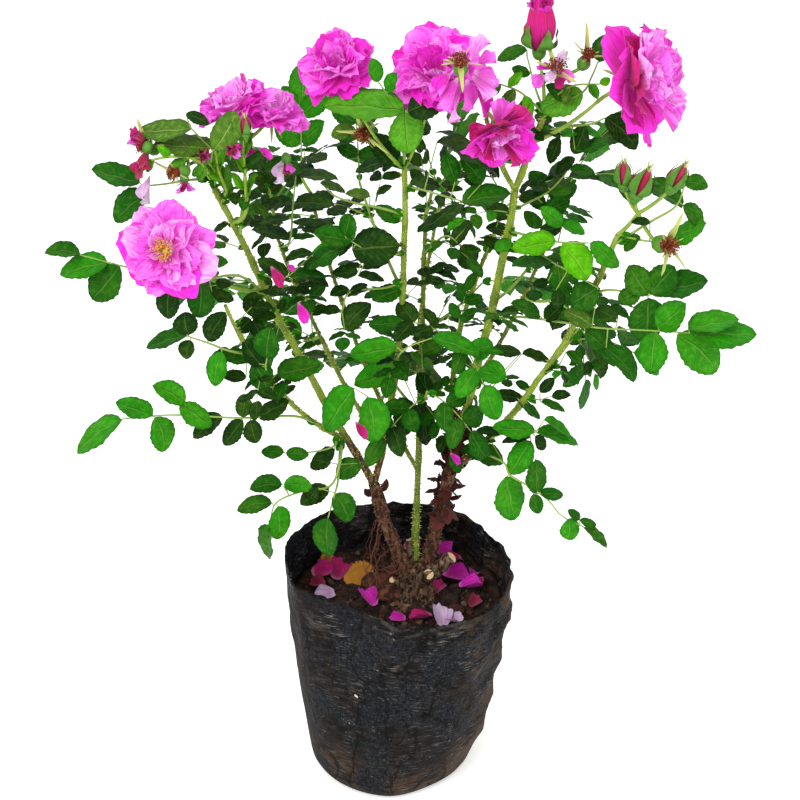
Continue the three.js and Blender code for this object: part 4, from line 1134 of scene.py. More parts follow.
def build_canes():
    own = sizes("cane")
    finishes = [
        bark_finish("ripe bark", tuple(own.bark), paint("2f1c13"), paint("8d7059")),
        green_bark_finish("green bark", tuple(own.green), 0.96),
        # Painted shade: the inner green bark is the green bark darkened, without browning, for canes inside
        # the bush.
        green_bark_finish("inner green bark", tint(own.green, 0.3), 0.0),
    ]
    green, ripe = Tubes("green_canes", 3), Tubes("ripe_canes", 5)
    prickles, prickle = Joined(), prickle_shape()
    for index, (name, is_ripe, _, _, _, radii) in enumerate(LIMBS):
        curve = CURVES[name]
        places = node_places(curve, name)
        length = curve.length()
        slimness = 0.88 if is_ripe else 0.6 if name == "cane_back" else 0.76
        knot_reach, knot_rise = (3.4, 0.8) if is_ripe else (2.6, 0.45)

        def girth(share):
            bumps = sum(math.exp(-((share - p) * length / knot_reach) ** 2) for p in places)
            return (blend(*radii, share) * slimness + knot_rise * bumps) * MM

        steps = max(8, int(length / (1.6 if is_ripe else 2.5)))
        wave = [Vector([noise.noise(Vector((i * 0.09, index * 3.1, k * 7.7))) for k in range(3)]) * 2.4
                * math.sin(math.pi * i / steps) for i in range(steps + 1)]
        points = [(curve.at(i / steps) + wave[i]) * MM for i in range(steps + 1)]
        if name == "cane_back":  # close behind the middle cane where it leaves the crown
            points = [p + Vector((4.6 * math.sin(math.pi * min(i / steps / 0.62, 1)), 3, 0)) * MM
                      for i, p in enumerate(points)]
        # Canes inside the bush take the darker inner green bark, as painted shade.
        is_shaded_inside = name in ("cane_middle", "cane_back", "cane_back_left", "cane_back_right", "cane_thin")
        (ripe if is_ripe else green).add(points, girth, int(is_shaded_inside))
        dice = Dice(900 + index)
        travelled = 0.0
        while travelled < length:
            share = travelled / length
            spot = min(int(share * steps), steps - 1)
            middle = points[spot].lerp(points[spot + 1], share * steps - spot)
            ahead = curve.ahead(share)
            out = (Matrix.Rotation(dice.between(0, 2 * math.pi), 3, ahead) @ upright(ahead)).normalized()
            size = own.prickle * dice.between(0.35, 1)
            thick = own.prickle * dice.between(0.1, 0.2)
            foot = middle + out * girth(share) * 0.93
            prickles.add(prickle, placed(ahead.cross(out) * thick, ahead * thick, out * size, foot),
                         0 if is_ripe else 1)
            travelled += own.prickle_gap / MM * dice.between(0.4, 1.2)
    bark = ripe.mesh([finishes[0]])
    roughen(bark, 1.1 * MM, 190, 4)
    put_up("ripe_canes", bark, replaced=["cane_left", "cane_right"])
    young = green.mesh(finishes[1:])
    roughen(young, 0.35 * MM, 260, 8)
    put_up("green_canes", young, replaced=[n for n, is_ripe, *_ in LIMBS if not is_ripe])
    put_up("cane_prickles", prickles.mesh("cane_prickles"),
           [plain_finish("brown prickle", "86634a", 0.7),
            plain_finish("green prickle", "c4cc62", 0.6)])


def build_root_crown():
    def warp(angle, row):
        radius, height = CROWN_RINGS[row]
        lobe = 1 + 0.14 * math.cos(3 * angle + 0.6) * (1 - height / 33)
        knots = 1 + 0.16 * noise.fractal(
            Vector((math.cos(angle) * 1.6, math.sin(angle) * 1.6, height / 9)), 0.8, 2.2, 4)
        return Vector((CROWN_AT[0] + math.cos(angle) * radius * lobe * knots,
                       CROWN_AT[1] + math.sin(angle) * radius * lobe * knots,
                       SOIL_TOP + 0.3 + height)) * MM

    crown = mesh_of(ringed(64, len(CROWN_RINGS), warp), "root_crown_bark")
    finish = bark_finish("crown bark", paint("5a4230"), paint("1e130d"), paint("93785c"))
    roughen(crown, 1.6 * MM, 130, 2, (SOIL_TOP + 0.4) * MM)
    put_up("root_crown_bark", crown, [finish], ["root_crown"])

    stubs = Tubes("pruned_stubs", 5)
    cut = Joined()
    disc = cut_shape()
    dice = Dice(12)
    for foot, tip, radii in STUBS:
        bend = Bend(Vector(foot) * MM, Vector(tip) * MM, Vector((0, 0, -0.8)) * MM)
        stubs.add(bend.points(12), metres(radii))
        way = bend.ahead(1)
        face = (way + Vector((dice.spread(0.2), -0.25, 0.2))).normalized()
        cut.add(disc, axes(bend.end + way * 0.25 * MM, upright(face), face, radii[1] * 0.94 * MM))
    stub_mesh = stubs.mesh([bark_finish("stub bark", paint("6b5642"), paint("2c1e15"), paint("a08a70"))])
    roughen(stub_mesh, 0.9 * MM, 210, 9)
    put_up("pruned_stubs", stub_mesh)
    put_up("stub_cuts", cut.mesh("stub_cuts"), [plain_finish("cut wood", "c4a684", 0.8, 700)])

    roots = Tubes("rootlets", 1)
    starts = [(-18, 6, 214), (-16, 4, 205), (-14, 2, 196), (-10, 2, 190), (-4, -4, 182), (0, -10, 178)]
    for i in range(ROOTLETS):
        start = Vector(dice.pick(starts)) + Vector((dice.spread(3), dice.spread(3), dice.spread(3)))
        x, y = dice.between(-26, 2), dice.between(-26, 20)
        end = Vector((x, y, soil_height(x, y)))
        bend = Bend(start, end, Vector((dice.spread(9) - 4, dice.spread(8), dice.spread(8) - 3)))
        line = bend.points(20)
        for n, point in enumerate(line):
            sway = 7 * math.sin(n * math.pi / 19)
            point += Vector([noise.noise(Vector((n * 0.35, i * 2.2, k * 3.3))) * sway for k in range(3)])
        roots.add(metres(line), (dice.between(0.3, 0.62) * MM, 0.18 * MM))
    put_up("rootlets", roots.mesh([plain_finish("rootlet", "6e3d2c", 0.75)]))


def cut_shape():
    bm = bmesh.new()
    bmesh.ops.create_circle(bm, cap_ends=True, segments=20, radius=1)
    bmesh.ops.inset_region(bm, faces=bm.faces, thickness=0.3, use_even_offset=True)
    return Shape(bm)


# ---------------------------------------------------------------- leaves


def leaflet_shape(seed, tooth):
    """A finely toothed elliptic blade of length 1 along Y, with its foot at the origin."""
    dice = Dice(400 + seed)
    rows = 16
    cup, droop = dice.between(0.35, 0.8), dice.between(0.04, 0.3)
    skew, wave = dice.spread(0.06), dice.between(0.008, 0.024)
    broad = dice.between(0.82, 0.98)
    bm = bmesh.new()
    layer = bm.loops.layers.uv.new("UVMap")
    bmesh.ops.create_grid(bm, x_segments=4, y_segments=rows, size=0.5)
    flat = {}
    for vertex in bm.verts:
        across, along = vertex.co.x * 2, vertex.co.y + 0.5
        row = round(along * rows)
        along = along - 0.035 * math.sin(2 * math.pi * along)
        half = BLADE_WIDTH / 2 * max(math.sin(math.pi * along ** broad), 0) ** 0.6
        if abs(across) > 0.9 and 0 < row < rows:
            half *= 1 + (tooth if row % 2 else -tooth)
        bow = skew * math.sin(math.pi * along)
        lift = cup * abs(across * half) - 1.3 * (across * half) ** 2
        lift += wave * math.sin(along * 17 + across * 3) - droop * along ** 2
        flat[vertex] = (across, along)
        vertex.co = Vector((across * half + bow, along, lift))
    lay_flat(bm, layer, flat)
    bmesh.ops.remove_doubles(bm, verts=bm.verts, dist=0.004)
    return Shape(bm)



class Foliage:
    """Leaves in their own pieces, and the ribs and stems that carry them."""

    def __init__(self):
        own = sizes("leaf")
        self.leaves = {"left": Joined(), "right": Joined(), "back": Joined()}
        self.twigs = Tubes("twigs", 0)
        self.blades = [leaflet_shape(seed, own.tooth) for seed in range(7)]
        self.blooms = [(Vector(at), Vector(face).normalized(), radius)
                       for _, kind, _, at, face, radius in HEADS if kind != "hip"]

    def hides_bloom(self, point):
        for middle, face, radius in self.blooms:
            offset = point - middle
            ahead = offset.dot(face)
            if offset.length < radius * 1.1:
                return True
            if 0 < ahead < CLEAR_VIEW and (offset - face * ahead).length < radius:
                return True
            near = offset.dot(TO_VIEWER)
            if near > 0 and (offset - TO_VIEWER * near).length < radius * 0.9:
                return True
        return False

    def leaflet(self, root, way, normal, length, green, dice):
        piece = "back" if root.y > BACK_PIECE else "left" if root.x < 0 else "right"
        blade = dice.pick(self.blades)
        width = dice.between(0.9, 1.12) * (1 if dice.roll() < 0.5 else -1)
        self.leaves[piece].add(blade, axes(root * MM, way, normal, length * MM, width), green)

    def compound(self, start, heading, reach, frontness, dice, tone, is_fine=False):
        """An arching rib with pairs of leaflets and one at the end, by the solids' rule."""
        pairs = 3 if reach > LONG_LEAF or (is_fine and dice.roll() < 0.45) else 2
        if tone == "deep" and not is_fine:
            pairs = 3
        size = (0.27 if is_fine or tone == "deep" else LEAFLET_SHARE[pairs]) * reach
        length = reach - size * 1.05
        rib = Bend(start, start + heading * length, Vector((0, 0, RIB_ARCH * length)))
        look = Dice(int(abs(start.x * 7 + start.y * 11 + start.z * 13 + reach) * 10))
        greens = TONES[tone]
        own_green = look.pick(greens)

        def add(along, angle, scale):
            ahead = rib.ahead(along)
            level = 0.3 if is_fine or tone == "deep" else 1
            normal = Vector((start.x * 0.0016, -0.5 * frontness * level, 0.72)).normalized()
            normal.x += dice.spread(0.22)
            normal.y += dice.spread(0.22)
            normal = (normal - ahead * normal.dot(ahead)).normalized()
            side = normal.cross(ahead)
            way = ahead * math.cos(angle) + side * math.sin(angle)
            normal += side * dice.spread(0.25)
            normal = (normal - way * normal.dot(way)).normalized()
            blade = size * scale * (0.92 + dice.roll() * 0.16)
            root = rib.at(along)
            if self.hides_bloom(root + way * blade / 2):
                return
            green = own_green if look.roll() < 0.75 else look.pick(greens)
            self.leaflet(root, way, normal, blade, green, look)

        for pair in range(pairs):
            along = blend(FIRST_PAIR[pairs], LAST_PAIR, pair / (pairs - 1))
            for hand in (-1, 1):
                angle = hand * math.radians(PAIR_ANGLE + dice.spread(8))
                add(along + hand * PAIR_STAGGER, angle, 0.84 + 0.1 * pair)
        add(1, 0, 1.05)
        thick = 0.7 if is_fine else 1
        self.twigs.add(metres(rib.points(7)), [r * thick * MM for r in RIB_RADII], 0)
        for hand in (-1, 1):  # the two wings at the leaf's foot
            ahead = rib.ahead(0)
            side = upright(ahead) * hand
            self.leaflet(rib.at(0.02), (ahead + side * 0.35).normalized(), Vector((0, -0.5, 0.8)),
                         size * 0.26, 2, look)

    def grow_spray(self, index, spray):
        """A rib through the given points of the frame, with each leaflet where it shows."""
        cane, share, knots, blades, *girth = spray
        thick = girth[0] if girth else SPRAY_RADIUS
        dice = Dice(20000 + index * 100)
        line = smooth_line([CURVES[cane].at(share), *[seen(*knot) for knot in knots]])
        self.twigs.add(metres(line), (thick * MM, thick * 0.45 * MM), 1 if girth else 0)
        screen = [shown(p) for p in line]
        ahead = (line[3] - line[0]).normalized()
        for hand in (-1, 1):
            wing = (ahead + upright(ahead) * hand * 0.4).normalized()
            self.leaflet(line[0].lerp(line[1], 0.5), wing, Vector((0.1 * hand, -0.6, 0.7)), 8, 2, dice)
        for u, v, tip_u, tip_v, width, letter in blades:
            nearest = min(range(len(line)), key=lambda i: math.hypot(screen[i][0] - u, screen[i][1] - v))
            root = seen(u, v, line[nearest].y)
            tip = seen(tip_u, tip_v, root.y + dice.spread(6) - 2)
            way, normal, length, widen = facing_blade(root, tip, width, BLADE_WIDTH)
            normal += Vector((dice.spread(0.12), 0, dice.spread(0.12)))
            blade = dice.pick(self.blades)
            hand = widen if dice.roll() < 0.5 else -widen
            piece = "left" if root.x < 0 else "right"
            self.leaves[piece].add(blade, axes(root * MM, way, normal, length * MM, hand),
                                   TONE_LETTERS[letter])
            if (root - line[nearest]).length > 0.6:
                stalk = [line[nearest], line[nearest].lerp(root, 0.5), root]
                self.twigs.add(metres(stalk), (0.5 * MM, 0.35 * MM), 0)

    def frontness(self, start):
        return -1 if start.y > BACK_OF_BUSH else min(max(0.6 - start.y / 50, 0.2), 1)

    def grow_mass(self, index, mass):
        name, cane, share, tip, lean, tone, leaves = mass
        foot, end = CURVES[cane].at(share), Vector(tip)
        stem = Bend(foot, end, Vector((0, 0, -STEM_SAG * (end - foot).length)))
        if name not in DRAWN or any(owner == name for owner, *_ in HEADS):
            self.twigs.add(metres(stem.points(10)), metres(STEM_RADII), 1)
        for order, (clock, reach) in enumerate([] if name in DRAWN else leaves):
            dice = Dice(index * 100 + order)
            along = FIRST_LEAF + (1 - FIRST_LEAF) * (order + 1) / len(leaves)
            turn = math.radians(clock + dice.spread(6))
            back = math.radians(lean + dice.spread(16))
            start = stem.at(along)
            self.compound(start, heading_of(turn, back), reach, self.frontness(start), dice, tone)
        if name not in DRAWN | SPARSE:
            self.grow_fine_leaves(index, stem, lean, tone)
        for owner, kind, _, at, face, radius in HEADS:
            if owner == name:
                face = Vector(face).normalized()
                back = Vector(at) + face * (HEAD_BACK[kind] * radius * 0.7)
                bend = Bend(end, back, -face * (back - end).length * 0.1)
                self.twigs.add(metres(bend.points(8)), metres(PEDICEL_RADII), 1)

    def grow_fine_leaves(self, index, stem, lean, tone):
        for order in range(sizes("leaf").fine_leaves):
            dice = Dice(60000 + index * 100 + order)
            start = stem.at(dice.between(0.12, 0.95))
            away = math.degrees(math.atan2(0.2, start.x or 1))
            turn = math.radians(away + dice.spread(110))
            back = math.radians(lean + dice.spread(45))
            self.compound(start, heading_of(turn, back), dice.between(44, 66), self.frontness(start),
                          dice, tone, True)

    def grow_along_cane(self, index, name):
        """Small leaves all round a cane, each a golden angle on from the last."""
        curve = CURVES[name]
        count = int(curve.length() / LEAF_STEP)
        for order in range(count):
            dice = Dice(90000 + index * 100 + order)
            share = (order + 0.6) / count
            start = curve.at(share)
            if start.z < LEAVES_FROM:
                continue
            turn = order * GOLDEN_ANGLE + dice.spread(0.5)
            heading = Vector((math.cos(turn), math.sin(turn), dice.between(-0.1, 0.45))).normalized()
            # Leaves that point from the front into the bush take the deep green, as painted shade.
            tone = "deep" if heading.y > 0.3 and start.y < BACK_OF_BUSH else "mid"
            self.compound(start, heading, dice.between(46, 70), self.frontness(start + heading * 25),
                          dice, tone, True)


def build_leaves():
    foliage = Foliage()
    for index, mass in enumerate(MASSES):
        foliage.grow_mass(index, mass)
    for index, (name, is_ripe, *_) in enumerate(LIMBS):
        if not is_ripe:
            foliage.grow_along_cane(index, name)
    for index, spray in enumerate(SPRAYS):
        foliage.grow_spray(index, spray)
    own = sizes("leaf")
    vein = paint("9cc060")
    finishes = [
        # The deep, bright and light leaf finishes are one green in painted shade and painted light.
        leaf_finish("deep leaf", tuple(own.deep), tint(own.deep, 0.35, vein)),
        leaf_finish("mid leaf", tuple(own.mid), tint(own.mid, 0.4, vein)),
        leaf_finish("bright leaf", tuple(own.bright), tint(own.bright, 0.45, vein)),
        leaf_finish("young leaf", tuple(own.young), tint(own.young, 0.4, paint("c8e070"))),
        leaf_finish("leaf underside", paint("476f1e"), paint("a8c060"), 0.6),
        leaf_finish("light leaf", tuple(own.light), tint(own.light, 0.4, vein)),
    ]
    nodes = ["leaves_" + mass[0] for mass in MASSES]
    twigs = foliage.twigs.mesh([plain_finish("leaf rib", "8aa84a", 0.6),
                                plain_finish("green stem", "8cab3a", 0.6)])
    put_up("twigs", twigs, replaced=nodes)
    for side, leaves in foliage.leaves.items():
        put_up("leaves_" + side, leaves.mesh("leaves_" + side), finishes)


# ---------------------------------------------------------------- blossom


def petal_shape(seed, ruffle, cup, curl, width=PETAL_WIDTH, foot=0.14, dent=0.09):
    """A broad petal of length 1 along Y with a waved edge, its foot at the origin."""
    dice = Dice(700 + seed)
    phase, second = dice.between(0, 6.28), dice.between(0, 6.28)
    notch = dice.between(0.0, dent)
    bm = bmesh.new()
    layer = bm.loops.layers.uv.new("UVMap")
    bmesh.ops.create_grid(bm, x_segments=8, y_segments=7, size=0.5)
    flat = {}
    for vertex in bm.verts:
        across, along = vertex.co.x * 2, vertex.co.y + 0.5
        flat[vertex] = (across, along)
        if along < 0.7:
            half = foot + (1 - foot) * math.sin(along / 0.7 * math.pi / 2) ** (1.4 - foot * 1.8)
        else:
            half = math.sqrt(1 - 0.52 * ((along - 0.7) / 0.3) ** 2)
        half *= width / 2
        reach = along - 0.2 * across * across * along ** 2
        reach -= notch * math.exp(-(across / 0.3) ** 2) * along ** 4
        torn = 0.06 * noise.noise(Vector((across * 5, along * 5, seed * 3.3))) * along ** 3
        ripple = math.sin(3.1 * across + phase) + 0.6 * along * math.sin(8 * across + second)
        wave = ruffle * along ** 2 * ripple
        lift = cup * (across * half * 2) ** 2 + wave + curl * (along ** 2 - along * 0.5)
        crease = -0.05 * math.exp(-(across / 0.25) ** 2) * along
        vertex.co = Vector((across * half, reach + torn, lift + crease))
    lay_flat(bm, layer, flat)
    return Shape(bm)


# Paints of petals are numbers: 0 pale, 1 pink, 2 magenta, 3 deep, 4 crimson, 5 faded.
# Rings of petals from the outside in: count, length in radii, tilt, shift out, width, paints.
FORMS = {
    "open": [(9, 1.1, 0, 0.02, 0.86, (1, 0, 1, 2)), (10, 0.98, 11, 0.03, 0.8, (1, 1, 0)),
             (9, 0.84, 22, 0.05, 0.8, (0, 1, 1)), (8, 0.68, 33, 0.08, 0.8, (1, 0, 1)),
             (6, 0.48, 46, 0.12, 0.76, (0, 2, 1))],
    "ruffled": [(8, 1.1, 8, 0.02, 0.98, (2, 2, 1)), (8, 1.04, 25, 0.03, 0.92, (1, 2, 1)),
                (8, 0.94, 42, 0.05, 0.88, (1, 1, 2)), (7, 0.82, 58, 0.08, 0.84, (1, 0, 2)),
                (6, 0.64, 74, 0.1, 0.8, (1, 2, 0))],
    "cup": [(8, 1.12, 12, 0.02, 1.0, (2, 1, 2)), (8, 1.04, 30, 0.03, 0.95, (1, 2, 1)),
            (8, 0.94, 48, 0.05, 0.9, (1, 0, 1)), (7, 0.84, 66, 0.08, 0.84, (0, 1, 0))],
    "side": [(7, 1.1, 2, 0.02, 1.1, (2, 3, 2)), (7, 1.04, 20, 0.03, 1.0, (2, 2, 3)),
             (9, 1.02, 42, 0.05, 0.88, (1, 0, 0)), (9, 0.94, 58, 0.08, 0.84, (0, 0, 1)),
             (8, 0.78, 74, 0.1, 0.8, (0, 1, 0))],
    "hanging": [(6, 1.2, 22, 0.02, 1.0, (2, 3, 3)), (6, 1.02, 44, 0.04, 0.9, (1, 2, 3)),
                (5, 0.84, 66, 0.06, 0.85, (1, 1, 0))],
    "spent": [(4, 1.3, -10, 0.05, 0.8, (1, 2, 5))],
    "wilted": [(4, 1.4, 58, 0.05, 0.7, (3, 4, 4, 1)), (4, 1.0, 76, 0.02, 0.6, (4, 3, 4))],
}
# Withered blossom that the solids leave out: middle, facing, radius.
WITHERED = [
    ((-172, -40, 522), (-0.3, -0.3, -0.9), 10), ((-104, -18, 520), (0.1, -0.3, -1), 8),
    ((-78, -16, 508), (0.2, -0.2, -1), 9), ((-134, -34, 520), (0.2, -0.6, 0.1), 8),
    ((-146, -48, 504), (0, -0.7, -0.6), 8), ((-113, -44, 527), (0.2, -0.7, -0.3), 11.5),
]
# Loose petals caught in the leaves: middle, the way they point, length, paint.
CAUGHT = [
    ((-88, -62, 450), (0.45, -0.2, -0.85), 17, 3), ((-71, -52, 420), (0.35, -0.3, -0.88), 17, 2),
    ((-32, -56, 330), (0.5, -0.4, -0.7), 15, 3), ((38, -14, 284), (0.6, -0.4, -0.6), 12, 2),
    ((-78, -46, 446), (0.3, -0.3, -0.2), 9, 2), ((-96, -32, 525), (0.7, -0.2, -0.6), 12, 2),
]
# Petals on the soil: place, direction, length, paint.
FALLEN = [
    (-50, 31, 75, 23, 3), (-63, 24, 20, 18, 3), (-66, 12, 340, 14, 4), (-60, -9, 200, 17, 5),
    (-26, -17, 120, 22, 2), (34, 60, 300, 25, 2), (46, 22, 330, 24, 2), (28, -6, 60, 20, 3),
    (56, -3, 10, 18, 2), (58, -20, 60, 15, 4), (16, -44, 200, 20, 3), (31, -43, 95, 22, 5),
    (42, -46, 330, 15, 5), (-2, -46, 170, 13, 2), (62, 8, 100, 14, 3), (10, 64, 30, 15, 3),
    (-62, 40, 280, 12, 3), (44, 44, 200, 16, 3), (60, 22, 250, 15, 2),
]
# Dead leaves on the soil, in the same way.
DEAD_LEAVES = [(-34, 19, 15, 24, 0), (-32, 26, 200, 22, 0), (-60, 46, 80, 15, 0), (44, -30, 20, 14, 1)]
# Loose petals below the blooms at the top: foot and tip in the frame, width, depth, paint.
HUNG = [
    (458, 78, 446, 112, 20, -64, 1), (462, 82, 455, 124, 16, -60, 0), (466, 80, 470, 112, 18, -62, 1),
    (472, 76, 490, 100, 19, -60, 0), (474, 72, 500, 84, 17, -58, 1), (470, 60, 488, 38, 17, -54, 0),
    (476, 64, 497, 58, 16, -56, 1), (478, 86, 486, 118, 15, -56, 2), (450, 74, 438, 96, 16, -60, 2),
    (495, 130, 469, 142, 26, -50, 3), (498, 130, 531, 159, 30, -54, 2), (500, 138, 520, 166, 22, -56, 3),
    (500, 125, 518, 102, 22, -56, 1), (500, 126, 498, 97, 20, -54, 1), (498, 132, 503, 160, 24, -50, 3),
    (506, 134, 530, 142, 20, -56, 2), (486, 132, 478, 156, 18, -48, 3),
    (326, 92, 309, 96, 26, -30, 2), (150, 176, 147, 205, 13, -34, 5), (142, 160, 136, 178, 16, -40, 4),
    (545, 76, 532, 86, 16, -40, 1), (555, 76, 563, 88, 14, -42, 3),
    (250, 138, 246, 158, 14, -14, 2), (284, 158, 281, 184, 9, -18, 5),
]


def ball_shape():
    """A ball of radius 1, for hips, ovaries and buds."""
    bm = bmesh.new()
    bmesh.ops.create_uvsphere(bm, u_segments=8, v_segments=7, radius=1)
    return Shape(bm)


def bud_shape():
    """Furled petals, twisted to a point, standing on the origin along Z."""
    bm = bmesh.new()
    layer = bm.loops.layers.uv.new("UVMap")
    bmesh.ops.create_uvsphere(bm, u_segments=18, v_segments=12, radius=1)
    for vertex in bm.verts:
        up = vertex.co.z * 0.5 + 0.5
        angle = math.atan2(vertex.co.y, vertex.co.x)
        girth = math.sin(math.pi * min(up ** 0.72, 1)) ** 0.8 if 0 < up < 1 else 0
        girth *= 1 + 0.13 * math.cos(3 * angle + up * 5.5)
        vertex.co = Vector((math.cos(angle) * girth * 0.5, math.sin(angle) * girth * 0.5, up))
    for face in bm.faces:
        for corner in face.loops:
            spot = corner.vert.co
            corner[layer].uv = (math.atan2(spot.y, spot.x) / 6.3 + 0.5, 0.25 + spot.z * 0.6)
    return Shape(bm)


def furl_shape():
    """A pleated barrel of furled petals with an open, waved top, standing on the origin along Z."""
    bm = bmesh.new()
    layer = bm.loops.layers.uv.new("UVMap")
    bmesh.ops.create_cone(bm, cap_ends=False, segments=40, radius1=1, radius2=1, depth=1)
    sides = [edge for edge in bm.edges if abs(edge.verts[0].co.z - edge.verts[1].co.z) > 0.5]
    bmesh.ops.subdivide_edges(bm, edges=sides, cuts=11)
    for vertex in bm.verts:
        up = vertex.co.z + 0.5
        angle = math.atan2(vertex.co.y, vertex.co.x)
        girth = 0.3 + 0.47 * math.sin(math.pi * min(up * 1.05 + 0.06, 1)) ** 0.7 + 0.3 * up ** 5
        pleats = 1 + 0.1 * math.sin(5 * angle + 2.6 * up) * smooth(up, 0.1, 0.8)
        girth *= pleats + 0.04 * math.sin(13 * angle + 5 * up)
        reach = up * (1 + 0.09 * math.sin(5 * angle + 4) * up ** 3 + 0.03 * math.sin(11 * angle) * up)
        vertex.co = Vector((math.cos(angle) * girth, math.sin(angle) * girth, reach))
    for face in bm.faces:
        spots = [corner.vert.co for corner in face.loops]
        middle = math.atan2(sum(c.y for c in spots), sum(c.x for c in spots))
        for corner in face.loops:
            spot = corner.vert.co
            angle = middle + math.remainder(math.atan2(spot.y, spot.x) - middle, 2 * math.pi)
            corner[layer].uv = (angle * 0.55 + 2, 0.3 + spot.z * 0.6)
    return Shape(bm)


def sepal_shape():
    """A narrow pointed sepal of length 1 along Y, bent back at its tip."""
    bm = bmesh.new()
    bmesh.ops.create_grid(bm, x_segments=2, y_segments=6, size=0.5)
    for vertex in bm.verts:
        across, along = vertex.co.x * 2, vertex.co.y + 0.5
        half = 0.13 * (1 - along) ** 0.8 + 0.03 * math.exp(-((along - 0.9) / 0.1) ** 2) + 0.008
        vertex.co = Vector((across * half, along, 0.5 * abs(across) * half - 0.12 * along ** 2))
    return Shape(bm)


def case_shape(least):
    """A sepal that clings to a bud, from its foot to its tip, standing on the origin along Z."""
    bm = bmesh.new()
    bmesh.ops.create_grid(bm, x_segments=4, y_segments=10, size=0.5)
    for vertex in bm.verts:
        across, up = vertex.co.x * 2, vertex.co.y + 0.5
        girth = max(math.sin(math.pi * min(0.05 + up ** 0.75 * 0.93, 1)), 0) ** 0.8
        if up > 0.36:
            girth = max(girth, least)
        girth = 0.56 * max(girth, 0.1) + 0.05 * abs(across) * (up < 0.9) + 0.02 * math.sin(9 * up)
        turn = across * 0.62 * (1 - up) ** 0.85 + 0.16 * up
        vertex.co = Vector((math.cos(turn) * girth, math.sin(turn) * girth, up * 1.06))
    return Shape(bm)


def hair_shape():
    bm = bmesh.new()
    bmesh.ops.create_cone(bm, cap_ends=True, segments=3, radius1=1, radius2=0.7, depth=1)
    bmesh.ops.translate(bm, vec=(0, 0, 0.5), verts=bm.verts)
    return Shape(bm)


def grain_shape():
    bm = bmesh.new()
    bmesh.ops.create_icosphere(bm, subdivisions=1, radius=1)
    return Shape(bm)


